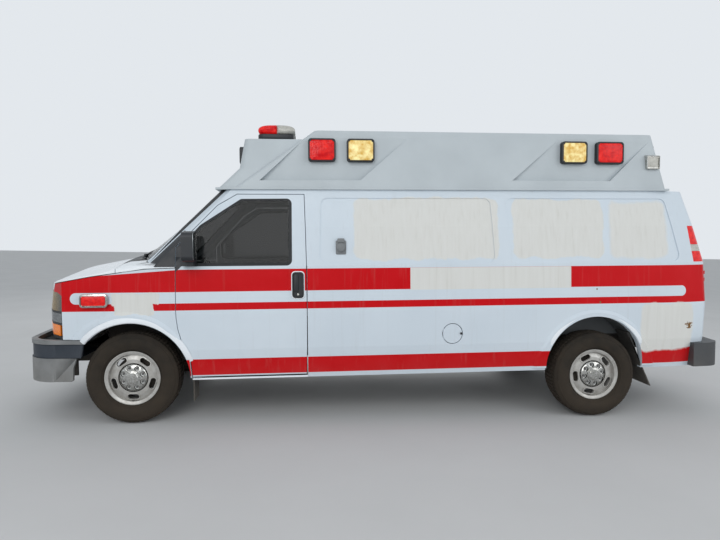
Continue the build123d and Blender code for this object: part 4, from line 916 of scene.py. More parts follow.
def rod(name: str, points: Sequence[Corner], radius: float) -> Piece:
    """Adds a round rod with closed ends along a line of points in mm."""
    wire(name, points)
    object_mode()
    bpy.ops.object.convert(target="CURVE")
    curve = bpy.context.object.data
    curve.bevel_depth = radius * MM
    curve.bevel_resolution = 2
    curve.use_fill_caps = True
    bpy.ops.object.convert(target="MESH")
    return smooth(bpy.context.object, 50)


def prism(name: str, outline: Sequence[Spot], y0: float, y1: float) -> Piece:
    """Adds a solid whose outline in x and z runs from one y to another.

    Args:
        name: Name of the piece.
        outline: Corners of the outline in mm.
        y0: Where it starts.
        y1: Where it ends.

    Returns:
        The solid.
    """
    obj = wire(name, [(x, y0, z) for x, z in outline])
    bpy.ops.mesh.select_all(action="SELECT")
    bpy.ops.mesh.edge_face_add()
    bpy.ops.mesh.extrude_region_move(TRANSFORM_OT_translate={"value": vector((0, y1 - y0, 0))})
    return close(obj)


def node_copy(name: str, node: str) -> Piece:
    """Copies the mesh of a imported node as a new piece, with its doubles merged.

    Args:
        name: Name of the piece.
        node: Name of the node.

    Returns:
        The piece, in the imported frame.
    """
    deselect()
    obj = bpy.data.objects.new(name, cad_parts[node].data.copy())
    bpy.context.collection.objects.link(obj)
    obj.data.materials.clear()
    edit(obj)
    bpy.ops.mesh.remove_doubles(threshold=0.00001)
    object_mode()
    return obj


def sliced(obj: Piece, point: Corner, normal: Corner) -> Piece:
    """Cuts off what lies on the normal's side of a plane of the body frame and closes the cut."""
    edit(obj)
    bpy.ops.mesh.bisect(
        plane_co=SPRUNG @ vector(point),
        plane_no=SPRUNG.to_3x3() @ Vector(normal),
        use_fill=True,
        clear_outer=True,
    )
    object_mode()
    return obj


def layer(name: str, node: str, z0: float, z1: float) -> Piece:
    """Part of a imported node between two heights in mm."""
    return sliced(sliced(node_copy(name, node), (0, 0, z1), (0, 0, 1)), (0, 0, z0), (0, 0, -1))


def skin_panel(name: str, node: str, corners: Sequence[Spot], thickness: float) -> Piece:
    """Lifts the outer skin of a node inside a convex outline of x and z, and gives it a thickness outwards.

    Args:
        name: Name of the piece.
        node: The node whose skin it follows.
        corners: Corners of the outline, anticlockwise with x to the right and z up.
        thickness: Its thickness in mm.

    Returns:
        The panel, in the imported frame.
    """
    obj = node_copy(name, node)
    for (x0, z0), (x1, z1) in zip(corners, list(corners[1:]) + [corners[0]]):
        sliced(obj, (x0, 0, z0), (z1 - z0, 0, x0 - x1))
    choose_faces(obj, lambda centre, normal: normal.y * centre.y <= 0.5 * abs(centre.y))
    bpy.ops.mesh.delete(type="FACE")
    object_mode()
    modify(obj, "SOLIDIFY", thickness=thickness * MM, offset=1)
    return obj


def dress(obj: Piece, finish: Finish, body: str) -> Piece:
    """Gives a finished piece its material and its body.

    Args:
        obj: The piece.
        finish: Its finish.
        body: The body it rides on.

    Returns:
        The piece.
    """
    obj.data.materials.clear()
    obj.data.materials.append(finish.material())
    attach(obj, body)
    LOG.info("%s on %s in %s", obj.name, body, finish.name)
    return obj


def fitted(obj: Piece, finish: Finish, body: str) -> Piece:
    """Smooths a piece made in the body frame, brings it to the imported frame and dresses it."""
    return dress(moved(smooth(obj), SPRUNG), finish, body)


def both_sides(
    obj: Piece, name: str, finish: Finish, bodies: tuple[str, str] = ("root", "root")
) -> list[Piece]:
    """Dresses a piece of the left side and its mirror image on the right.

    Args:
        obj: The left piece, in the body frame.
        name: Name of both, before the side.
        finish: Their finish.
        bodies: The bodies they ride on.

    Returns:
        The left and the right piece.
    """
    other = twin(obj, f"{name}_right", RIGHT)
    obj.name = f"{name}_left"
    return [dress(moved(piece, SPRUNG), finish, body) for piece, body in zip((obj, other), bodies)]


@dataclass
class Bodywork:
    """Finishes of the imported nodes, and the seals round the panes."""

    seal_width: float = 26.0
    seal_proud: float = 3.0
    cowl_half: float = 800.0
    arches: tuple[tuple[str, float, float, float, float, float], ...] = (
        ("front_arch_lip", 1.0, 363.0, 466.0, 40.0, 123.0),
        ("rear_arch_lip", -3930.0, 378.0, 438.0, 20.0, 140.0),
    )

    def build(self) -> None:
        """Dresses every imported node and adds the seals."""
        for finish, names in NODE_FINISHES.items():
            for name in names:
                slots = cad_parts[name].data.materials
                slots.clear()
                slots.append(finish.material())
        panes = (
            ("front_door_glass_left", "front_door_left", (0, 1, 0)),
            ("front_door_glass_right", "front_door_right", (0, -1, 0)),
            ("side_door_glass_front", "side_door_front", (0, -1, 0)),
            ("side_door_glass_rear", "side_door_rear", (0, -1, 0)),
            ("rear_door_glass_left", "rear_door_left", (-1, 0, 0)),
            ("rear_door_glass_right", "rear_door_right", (-1, 0, 0)),
            ("windshield", "root", (0.6, 0, 0.8)),
        )
        for pane, body, facing in panes:
            self.seal(pane, body, Vector(facing))
        self.cowl()
        self.flares()
        self.rockers()
        edge = skin_panel(
            "screen_edge", "cab_frame", ((-139, 1291), (20, 1291), (-640, 1900), (-748, 1900)), 2.0
        )
        dress(smooth(edge), SEAL, "root")

    def cowl(self) -> None:
        """Cowl in three parts: black grille between the wipers and painted ends."""
        for name, y0, y1, finish in (
            ("cowl_grille", -self.cowl_half, self.cowl_half, BLACK),
            ("cowl_end_left", self.cowl_half + 1, 1100.0, LIT_ENAMEL),
            ("cowl_end_right", -1100.0, -self.cowl_half - 1, LIT_ENAMEL),
        ):
            obj = node_copy(name, "cowl")
            sliced(obj, (0, y1, 0), (0, 1, 0))
            sliced(obj, (0, y0, 0), (0, -1, 0))
            dress(smooth(obj), finish, "root")
            if finish is BLACK:
                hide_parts("cowl")

    def flares(self) -> None:
        """Rounded lips pressed round the wheel arches, run out into the skin at both ends."""
        for name, x, z, radius, start, sweep in self.arches:
            obj = wire(name, [(radius, 1006.0, 0.0), (radius + 6, 1016.0, 0.0), (radius + 20, 1019.0, 0.0),
                              (radius + 38, 1016.0, 0.0), (radius + 50, 1004.0, 0.0)])
            bpy.ops.mesh.select_all(action="SELECT")
            bpy.ops.transform.rotate(value=math.radians(start), orient_axis="Y", center_override=(0, 0, 0))
            bpy.ops.mesh.spin(steps=48, angle=math.radians(sweep), center=(0, 0, 0), axis=(0, 1, 0))
            moved(close(obj), Matrix.Translation(vector((x, 0, z))))
            for vertex in obj.data.vertices:
                angle = math.degrees(math.atan2(vertex.co.z / MM - z, vertex.co.x / MM - x))
                near = max(min(angle - start, start + sweep - angle), 0.0) / 14
                if near < 1:
                    vertex.co.y -= 24.0 * MM * (1 - near) ** 2
            modify(obj, "SOLIDIFY", thickness=2.0 * MM, offset=-1)
            # Painted highlight: the lips take the lighter, lit copy of the enamel
            both_sides(smooth(obj), name, LIT_ENAMEL)

    def rockers(self) -> None:
        """Painted strip of the body below each front door."""
        strip = rounded_box("rocker", (-1424, 925, 346), (-478, 965, 361), 0, 5.0, 1.5)
        both_sides(smooth(strip), "rocker", LIT_ENAMEL)

    def seal(self, pane: str, body: str, facing: Vector) -> None:
        """Makes the rubber seal of a pane from the rim of the pane itself.

        Args:
            pane: The pane's node.
            body: The body it rides on.
            facing: The way the pane faces, as a unit vector.
        """
        obj = node_copy(f"{pane}_seal", pane)
        choose_faces(obj, lambda centre, normal: abs(normal.dot(facing)) > 0.5)
        bpy.ops.mesh.delete(type="FACE")
        object_mode()
        modify(obj, "SOLIDIFY", thickness=self.seal_width * MM, offset=-1, use_even_offset=True)
        edit(obj)
        bpy.ops.transform.translate(value=facing * self.seal_proud * MM)
        close(obj)
        dress(smooth(obj), SEAL, body)


@dataclass
class Wheels:
    """Tyres with their tread, hub caps, nuts, brakes and valves."""

    tread_count: int = 70
    rib_centres: tuple[float, ...] = (0.0, 37.0, -37.0)
    base_radius: float = 365.0
    tread_radius: float = 374.6
    nut_circle: float = 82.5

    def build(self) -> None:
        """Builds one of each and copies it to the four wheels."""
        pieces = (
            (self.tyre(), TYRE, "tyre"),
            (self.cap(), CHROME, "wheel_steel"),
            # Painted shade inside the cap's openings and in the gap round its rim
            (self.painted_shade_linings(), PAINTED_SHADE, "wheel_steel"),
            (self.nuts(), ENGINE, "wheel_steel"),
            (self.brake(), CAST, "frame_steel"),
            (rod("valve", ((0, 70, -196), (0, 96, -186)), 4.0), BLACK, "rubber"),
        )
        for end, x, roll in (("front", 0.0, 0.0), ("rear", -WHEELBASE, -10.0)):
            for side in Side:
                turn = Matrix.Identity(4) if side is Side.LEFT else Matrix.Rotation(math.pi, 4, "Z")
                turn = turn @ Matrix.Rotation(math.radians(roll), 4, "Y")
                place = ROAD @ Matrix.Translation(vector((x, side.value * TRACK / 2, AXLE_Z))) @ turn
                body = f"wheel_{end}_{side.word}"
                for piece, finish, slot in pieces:
                    copy = twin(piece, f"{piece.name}_{end}_{side.word}", place)
                    dress(copy, finish, body)
                    if finish is TYRE:
                        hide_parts(f"tyre_{end}_{side.word}")
        for piece, _, _ in pieces:
            remove(piece)

    def tyre(self) -> Piece:
        """Carcass with ribs on its sidewalls and blocks round its tread."""
        half = (
            (204.0, 87.0), (222.5, 88.0), (228.0, 98.0), (240.0, 108.0), (244.0, 113.5), (249.0, 113.5),
            (252.0, 115.0), (270.0, 121.0), (292.0, 123.8), (314.0, 121.5), (333.0, 115.5), (335.0, 117.5),
            (341.0, 115.0), (343.0, 111.0), (357.0, 103.0), (365.0, 92.0), (self.base_radius, 60.0),
        )
        profile = half + tuple((r, -y) for r, y in reversed(half)) + (half[0],)
        carcass = smooth(lathe("tyre_carcass", profile, 120), 30)
        blocks = []
        pitch = 2 * math.pi * self.tread_radius / self.tread_count
        for centre in self.rib_centres:
            blocks.append(self.block(centre - 14.5, centre + 14.5, pitch * 0.86, self.tread_radius, 0.0))
        for sign in (1, -1):
            blocks.append(self.block(sign * 56.0, sign * 96.0, pitch * 0.7, 371.0, sign * 9.0))
        tread = ring(joined("tread", blocks), self.tread_count, "tread")
        return joined("tyre", [carcass, tread])

    def block(self, y0: float, y1: float, length: float, top: float, skew: float) -> Piece:
        """One tread block at the top of the tyre.

        Args:
            y0: Its inner side.
            y1: Its outer side.
            length: Its length round the tyre.
            top: Radius of its face.
            skew: How far its outer side is turned forwards.

        Returns:
            The block.
        """
        low, high = sorted((y0, y1))
        obj = cube("tread_block", (-length / 2, low, self.base_radius - 6), (length / 2, high, top))
        for vertex in obj.data.vertices:
            if vertex.co.z > 0.36 and abs(skew) > 0 and abs(vertex.co.y) > abs(y1) * MM * 0.9:
                vertex.co.z -= 0.006
            vertex.co.x += skew * MM * (1 if abs(vertex.co.y) > abs(y0 + y1) / 2 * MM else -1)
        return round_edges(obj, 1.5, 1)

    def cap(self) -> Piece:
        """Chrome hub cap: a dome with eight openings over the nuts and a ten-sided boss with a crown."""
        profile = (
            (0.0, 70.0), (111.0, 70.0), (112.0, 74.0), (106.0, 81.0), (88.0, 88.0), (66.0, 91.0), (0.0, 91.0),
        )
        cap = lathe("hub_cap", profile, 72)
        holes = disc("hole", (self.nut_circle, 92.0, 0), 20.5, 28.0, 1, 24)
        cap = cut(cap, moved(ring(holes, 8, "holes"), STUD_TURN))
        boss = pressed(disc("boss", (0, 95.0, 0), 60.0, 14.0, 1, 10), along(1, 1), (8.0, 4.0))
        crown = lathe("crown", ((0.0, 100.0), (45.0, 100.0), (45.0, 105.5), (42.0, 108.0), (0.0, 111.0)), 40)
        return smooth(joined("hub_cap", [round_edges(cap, 0.8), round_edges(boss, 2.0), crown]), 32)

    def painted_shade_linings(self) -> Piece:
        """Painted shade: near-black linings of the eight openings and of the gap round the cap, where shade
        falls.
        """
        shade_lining = (
            (20.8, 72.0), (20.8, 87.5), (19.0, 87.5), (19.0, 74.0), (0.0, 74.0), (0.0, 72.0), (20.8, 72.0)
        )
        cup = moved(lathe("cup", shade_lining, 20), Matrix.Translation(vector((self.nut_circle, 0, 0))))
        cups = moved(ring(cup, 8, "cups"), STUD_TURN)
        gap = lathe("gap", ((112.5, 71.0), (119.0, 71.0), (119.5, 75.5), (113.5, 76.0), (112.5, 71.0)), 72)
        return smooth(joined("cap_painted_shade", [cups, gap]), 40)

    def nuts(self) -> Piece:
        """Eight domed wheel nuts."""
        nut = disc("nut", (self.nut_circle, 77.0, 0), 9.5, 10.0, 1, 6)
        nuts = ring(round_edges(nut, 2.0), 8, "wheel_nuts")
        return smooth(moved(nuts, STUD_TURN), 30)

    def brake(self) -> Piece:
        """Brake disc behind the slots, with its hat."""
        profile = (
            (66.0, -28.0), (66.0, 20.0), (92.0, 20.0), (94.0, -2.0), (160.0, -2.0), (161.0, -5.0),
            (161.0, -25.0), (160.0, -28.0), (66.0, -28.0),
        )
        return smooth(lathe("brake_disc", profile, 64), 30)


@dataclass
class Lamps:
    """Warning lamps on the roof, the beacon bar, side markers, head and tail lamps."""

    plane_y: float = 848.3
    depth: float = 46.0
    side_lamps: tuple[tuple[float, float, Finish], ...] = (
        (-1673.0, -1443.0, RED_LENS),
        (-2002.0, -1768.0, WARM_LENS),
        (-3883.0, -3650.0, WARM_LENS),
        (-4218.0, -3968.0, RED_LENS),
    )
    low: float = 2150.0
    high: float = 2343.0
    screw_inset: float = 20.0
    lens_inset: float = 17.0

    def build(self) -> None:
        """Builds every lamp."""
        stand_ins = []
        for number, (x0, x1, lens) in enumerate(self.side_lamps, 1):
            stand_ins += self.side_lamp(f"roof_lamp_{number}", x0, x1, lens)
        for y in (560.0, -560.0):
            stand_ins += self.end_lamp(
                f"front_roof_lamp_{'left' if y > 0 else 'right'}", -888.0, 1, y, 2230.0
            )
        for number, y in enumerate((640.0, 300.0, -300.0, -640.0), 1):
            stand_ins += self.end_lamp(f"rear_roof_lamp_{number}", -4553.0, -1, y, 2270.0)
        stand_ins += self.scene_lights()
        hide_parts("warning_lamps")
        self.beacon()
        self.stacks()
        self.markers()

    def bezel(self, name: str, low: Corner, high: Corner, axis: int, outward: int) -> Piece:
        """Black lamp housing with a recess for the lens and four screws.

        Args:
            name: Name of the piece.
            low: Lowest corner.
            high: Highest corner.
            axis: The axis the lamp faces.
            outward: 1 or -1, the way it faces.

        Returns:
            The housing.
        """
        obj = pressed(rounded_box(name, low, high, axis, 26.0, 3.0), along(axis, outward), (13.0, -12.0))
        ends = [[a + self.screw_inset, b - self.screw_inset] for a, b in zip(low, high)]
        ends[axis] = [(high if outward > 0 else low)[axis] - outward * 4]
        screws = [disc("screw", centre, 6.5, 9.0, axis, 12) for centre in product(*ends)]
        return smooth(joined(name, [obj] + screws), 30)

    def lens(self, name: str, low: Corner, high: Corner, axis: int, outward: int) -> Piece:
        """Pressed lens with ribs, set in a housing.

        Args:
            name: Name of the piece.
            low: Lowest corner.
            high: Highest corner.
            axis: The axis the lamp faces.
            outward: 1 or -1, the way it faces.

        Returns:
            The lens.
        """
        inner_low = [v + self.lens_inset for v in low]
        inner_high = [v - self.lens_inset for v in high]
        face = (high if outward > 0 else low)[axis] - 3 * outward
        inner_low[axis], inner_high[axis] = sorted((face, face - 16 * outward))
        obj = rounded_box(name, inner_low, inner_high, axis, 24.0, 5.0)
        return smooth(round_edges(pressed(obj, along(axis, outward), (12.0, 4.0), (20.0, 2.0)), 1.2), 40)

    def side_lamp(self, name: str, x0: float, x1: float, lens: Finish) -> list[Piece]:
        """One lamp of the roof's side and its twin on the other side."""
        low, high = (x0, self.plane_y, self.low), (x1, self.plane_y + self.depth, self.high)
        housing = both_sides(self.bezel(name, low, high, 1, 1), name, BLACK)
        both_sides(self.lens(f"{name}_lens", low, high, 1, 1), f"{name}_lens", lens)
        return housing

    def end_lamp(self, name: str, face_x: float, outward: int, y: float, z: float) -> list[Piece]:
        """One lamp of the roof's front or rear face."""
        x0, x1 = sorted((face_x - outward * 20, face_x + outward * 34))
        low, high = (x0, y - 115, z - 75), (x1, y + 115, z + 75)
        housing = dress(moved(self.bezel(name, low, high, 0, outward), SPRUNG), BLACK, "root")
        lens = self.lens(f"{name}_lens", low, high, 0, outward)
        dress(moved(lens, SPRUNG), RED_LENS, "root")
        return [housing]

    def scene_lights(self) -> list[Piece]:
        """Chrome flood light boxes at the rear upper corners."""
        box = rounded_box("scene_light", (-4551, 846, 2118), (-4428, 904, 2238), 1, 8.0, 2.0)
        pressed(box, along(1, 1), (8.0, -10.0))
        for vertex in box.data.vertices:
            if vertex.co.y > 0.88:
                vertex.co.z -= 0.012
        lens = rounded_box("scene_light_lens", (-4540, 880, 2122), (-4439, 897, 2214), 1, 6.0, 2.0)
        pair = both_sides(smooth(box), "scene_light", CHROME)
        both_sides(smooth(lens), "scene_light_lens", CLEAR_LENS)
        return pair

    def beacon(self) -> None:
        """Beacon bar: black base, red dome ahead and clear dome behind, with end caps."""
        base = rounded_box("beacon_base", (-1318, -556, 2397), (-999, 556, 2440), 2, 60.0, 8.0)
        feet = [
            rounded_box("beacon_foot", (-1255, y - 55, 2353), (-1060, y + 55, 2400), 2, 20.0, 4.0)
            for y in (380.0, -380.0)
        ]
        base = dress(smooth(moved(joined("beacon_base", [base] + feet), SPRUNG)), BLACK, "root")
        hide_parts("beacon_bar")
        for name, seam, sign, finish in (
            ("beacon_dome_front", -1164.0, 1, RED_LENS),
            ("beacon_dome_rear", -1167.0, -1, CLEAR_LENS),
        ):
            outline = []
            for step in range(17):
                turn = math.radians(90 - 11.25 * step)
                reach = math.cos(turn) ** 0.62
                rise = math.copysign(abs(math.sin(turn)) ** 0.75, math.sin(turn))
                outline.append((seam + sign * 162.0 * reach, 2466.0 + (52.0 if rise > 0 else 25.0) * rise))
            dome = prism(name, outline, -540.0, 540.0)
            choose_faces(dome, lambda centre, normal: abs(normal.y) > SQUARE_ON)
            bpy.ops.mesh.inset(thickness=0.016, depth=0.016)
            object_mode()
            dress(smooth(moved(dome, SPRUNG), 50), finish, "root")

    def stack(
        self, node: str, slot: str, zones: Sequence[tuple[str, float, float, Optional[float], Finish]]
    ) -> None:
        """Cuts a lamp node into a stack of lenses and trims, which replace it.

        Args:
            node: The lamp node.
            slot: The record's material slot; not used.
            zones: Name, lowest z, highest z, rearmost x if it is cut there, and finish of each piece.
        """
        for number, (name, z0, z1, x_rear, finish) in enumerate(zones):
            obj = layer(name, node, z0, z1)
            if x_rear is not None:
                sliced(obj, (x_rear, 0, 0), (-1, 0, 0))
            dress(smooth(obj), finish, "root")
            if number == 0:
                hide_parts(node)

    def stacks(self) -> None:
        """Head lamps of surround, amber, park and clouded main lens, and tail lamps of red, clear and red."""
        self.stack("headlamps", "lamp_lens", (
            ("headlamp_surround", 690.0, 726.0, None, BLACK),
            ("headlamp_amber", 729.0, 815.0, 560.0, AMBER_LENS),
            ("headlamp_bar", 818.0, 832.0, None, BLACK),
            ("headlamp_park", 835.0, 912.0, 536.0, DARK_CLEAR),
            ("headlamp_frame", 915.0, 925.0, None, BLACK),
            ("headlamp_main", 928.0, 1090.0, None, CLOUDY_LENS),
        ))
        self.stack("tail_lamps", "red_lens", (
            ("tail_lamp_low", 1280.0, 1378.0, None, RED_LENS),
            ("tail_lamp_clear", 1380.0, 1438.0, None, CLEAR_LENS),
            ("tail_lamp_high", 1440.0, 1610.0, None, RED_LENS),
        ))

    def markers(self) -> None:
        """Red side lamps on the fenders, in chrome bezels."""
        bezel = self.bezel("fender_lamp", (163, 994, 962), (379, 1016, 1070), 1, 1)
        lens = rounded_box("fender_lamp_lens", (178, 998, 978), (364, 1018, 1054), 1, 14.0, 4.0)
        both_sides(bezel, "fender_lamp", CHROME)
        both_sides(smooth(lens), "fender_lamp_lens", RED_LENS)


@dataclass
class DoorTrim:
    """Handles, mirror glass and sail panels of the doors, the wipers, the power inlet and the plate."""

    sail: tuple[Spot, ...] = ((-167.0, 1286.0), (-167.0, 1323.0), (-413.0, 1597.0), (-413.0, 1286.0))
    wiper_pivots: tuple[tuple[float, float], ...] = ((520.0, 700.0), (-80.0, 620.0))

    def build(self) -> None:
        """Builds the fittings of the doors and the body round them."""
        doors = ("front_door_left", "front_door_right")
        self.front_handles(doors)
        pane = rounded_box("mirror_pane", (-553, 1070, 1340), (-548, 1203, 1555), 0, 26.0, 1.0)
        both_sides(smooth(pane), "mirror_pane", MIRROR, doors)
        for side in Side:
            self.sail_panels(side)
        self.wipers()
        fitted(self.inlet(), BUMPER, "root")
        tab = rounded_box("fuel_door_tab", (-2736, 1000, 684), (-2716, 1012, 702), 1, 6.0, 2.0)
        fitted(tab, SEAL, "fuel_door")
        self.cargo_handles()

    def front_handles(self, doors: tuple[str, str]) -> None:
        """Black paddle handles in their cups, with the locks."""
        cup = rounded_box("front_handle", (-1396, 990, 1017), (-1302, 1019, 1230), 1, 26.0, 3.0)
        pressed(cup, along(1, 1), (9.0, -11.0))
        rim = rounded_box("handle_ring", (-1404, 988, 1009), (-1294, 1010, 1238), 1, 32.0, 3.0)
        cut(rim, rounded_box("hole", (-1397, 980, 1016), (-1301, 1020, 1231), 1, 27.0, 0.0))
        # Painted highlight: the ring takes the lighter, lit copy of the enamel
        both_sides(smooth(rim), "handle_ring", LIT_ENAMEL, doors)
        pull = rounded_box("handle_pull", (-1352, 1006, 1070), (-1316, 1024, 1214), 1, 12.0, 4.0)
        lock = disc("handle_lock", (-1350, 1009, 1044), 9.0, 8.0, 1, 20)
        both_sides(smooth(joined("front_handle", [cup, pull])), "front_handle", BLACK, doors)
        both_sides(smooth(round_edges(lock, 1.0)), "door_lock", CHROME, doors)

    def sail_panels(self, side: Side) -> None:
        """Black corner panels ahead of the window, on the body and on the door.

        Args:
            side: The side of the vehicle.
        """
        for node, body in (("cab_frame", "root"), (f"front_door_{side.word}", f"front_door_{side.word}")):
            obj = skin_panel(f"sail_{body}_{side.word}", node, self.sail, 2.5)
            edit(obj)
            bpy.ops.mesh.bisect(
                plane_co=(0, 0, 0), plane_no=(0, side.value, 0), clear_inner=True, use_fill=False
            )
            object_mode()
            if obj.data.polygons:
                dress(smooth(obj), BLACK, body)
            else:
                remove(obj)

    def on_screen(self, y: float, z: float, lift: float) -> Corner:
        """Finds a point above the windshield by looking at it from ahead.

        Args:
            y: Its y in mm.
            z: Its z in mm.
            lift: Its height over the glass.

        Returns:
            The point in the body frame, in mm.
        """
        start = SPRUNG @ vector((1500, y, z))
        ahead = SPRUNG.to_3x3() @ Vector((-1, 0, 0))
        hit, place, normal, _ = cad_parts["windshield"].ray_cast(start, ahead)
        if not hit:
            place, normal = SPRUNG @ vector((180 - (z - 1281) * 1.32, y, z)), Vector((0.6, 0, 0.8))
        return tuple((SPRUNG.inverted() @ (place + normal * lift * MM)) / MM)

    def wipers(self) -> None:
        """Two wipers parked along the foot of the windshield."""
        for number, (pivot, length) in enumerate(self.wiper_pivots, 1):
            steps = [i / 6 for i in range(7)]
            blade = [
                self.on_screen(pivot - 60 - length * t, 1392 + 16 * t - 60 * (t - 0.5) ** 2, 9) for t in steps
            ]
            base = self.on_screen(pivot, 1385, 6)
            foot = (base[0] + 40, base[1], base[2] - 22)
            middle = blade[3]
            arm = rod("wiper_arm", (foot, base, (middle[0], middle[1], middle[2] + 9)), 5.0)
            spine = rod("wiper_spine", blade, 5.0)
            cap = round_edges(disc("wiper_cap", foot, 15.0, 26.0, 2, 20), 4.0)
            wiper = joined(f"wiper_{number}", [arm, spine, cap])
            fitted(wiper, SEAL, "root")

    def inlet(self) -> Piece:
        """Shore power inlet with its sprung lid, and the plate behind it."""
        plate_piece = rounded_box("power_inlet", (-1750, 960, 1372), (-1664, 978, 1488), 1, 10.0, 2.0)
        lid = disc("inlet_lid", (-1707, 984, 1432), 36.0, 32.0, 1, 32)
        ear = rounded_box("inlet_hinge", (-1735, 960, 1470), (-1679, 990, 1506), 1, 6.0, 2.0)
        return joined("power_inlet", [plate_piece, round_edges(lid, 5.0), ear])

    def cargo_handles(self) -> None:
        """Handles of the side and rear doors, and a blank number plate."""
        for name, body, centre, axis, outward in (
            ("side_door_handle", "side_door_front", (-2175.0, -1008.0, 1120.0), 1, -1),
            ("rear_door_handle", "rear_door_right", (-5064.0, -70.0, 1020.0), 0, -1),
        ):
            parts = []
            for half, thick, radius in (((48.0, 48.0, 105.0), 9.0, 24.0), ((16.0, 16.0, 74.0), 8.0, 10.0)):
                half = [thick if i == axis else h for i, h in enumerate(half)]
                low, high = [c - h for c, h in zip(centre, half)], [c + h for c, h in zip(centre, half)]
                parts.append(rounded_box(name, low, high, axis, radius, 3.0))
            pressed(parts[0], along(axis, outward), (12.0, -10.0))
            fitted(joined(name, parts), BLACK, body)
        holder = rounded_box("number_plate", (-5074, 200, 720), (-5060, 510, 880), 0, 10.0, 1.5)
        pressed(holder, along(0, -1), (6.0, -2.0))
        fitted(holder, PLATE, "rear_door_left")


@dataclass
class Underside:
    """Small pieces below the body: shock absorbers, fuel pipe and the upper part of the rear mud flaps."""

    def build(self) -> None:
        """Builds the pieces of both sides."""
        tube = rod("shock_tube", ((-3860, 470, 330), (-3760, 455, 520)), 24.0)
        piston = rod("shock_rod", ((-3760, 455, 520), (-3715, 448, 612)), 9.0)
        both_sides(joined("rear_shock", [tube, piston]), "rear_shock", CAST)
        pipe = rod(
            "fuel_pipe", ((-2560, 985, 690), (-2520, 860, 600), (-2480, 720, 520), (-2470, 620, 470)), 22.0
        )
        dress(moved(pipe, SPRUNG), RUBBER, "root")
        upper = prism(
            "rear_flap_upper", ((-4235, 660), (-4262, 672), (-4385, 352), (-4372, 352), (-4337, 470)),
            775.0, 962.0
        )
        both_sides(round_edges(upper, 2.0), "rear_flap_upper", RUBBER)


@dataclass
class Bumpers:
    """Dark band and grey lip of the front bumper, the rear step tread and mud on a flap."""

    def build(self) -> None:
        """Cuts the band and the lip from the bumper's own form."""
        for name, z0, z1, finish in (
            ("front_bumper_lower", 350.0, 549.0, BUMPER),
            ("front_bumper_band", 551.0, 661.0, SLATE),
            ("front_bumper_lip", 663.0, 700.0, BUMPER),
        ):
            obj = layer(name, "front_bumper", z0, z1)
            dress(smooth(obj), finish, "root")
            if z0 < 400:
                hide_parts("front_bumper")
        self.corners()
        self.step()
        self.mud()

    def corners(self) -> None:
        """Rear lower corners of the front bumper's skin, which wrap down beside the wheel arch."""
        corner = prism(
            "front_bumper_corner", ((430, 549), (456, 470), (462, 368), (474, 359), (612, 359)), 0.0, 30.0
        )
        for vertex in corner.data.vertices:
            vertex.co.y += (980.0 - (vertex.co.x / MM - 345.0) * 0.0863 - 30.0) * MM
        both_sides(smooth(round_edges(corner, 2.5)), "front_bumper_corner", BUMPER)

    def step(self) -> None:
        """Ribbed tread on the rear step bumper."""
        tread = cube("rear_step_tread", (-5188, -480, 561), (-5082, 480, 565))
        ribs = [cube("rib", (-5186 + 16 * i, -474, 564), (-5180 + 16 * i, 474, 568)) for i in range(7)]
        dress(
            moved(round_edges(joined("rear_step_tread", [tread] + ribs), 0.8, 1), SPRUNG), SEAL, "root",
        )

    def mud(self) -> None:
        """Dried mud on the left front flap."""
        spot = rounded_box("flap_mud", (-484.0, 815, 196), (-479.5, 925, 262), 0, 22.0, 1.0)
        fitted(spot, MUD, "root")


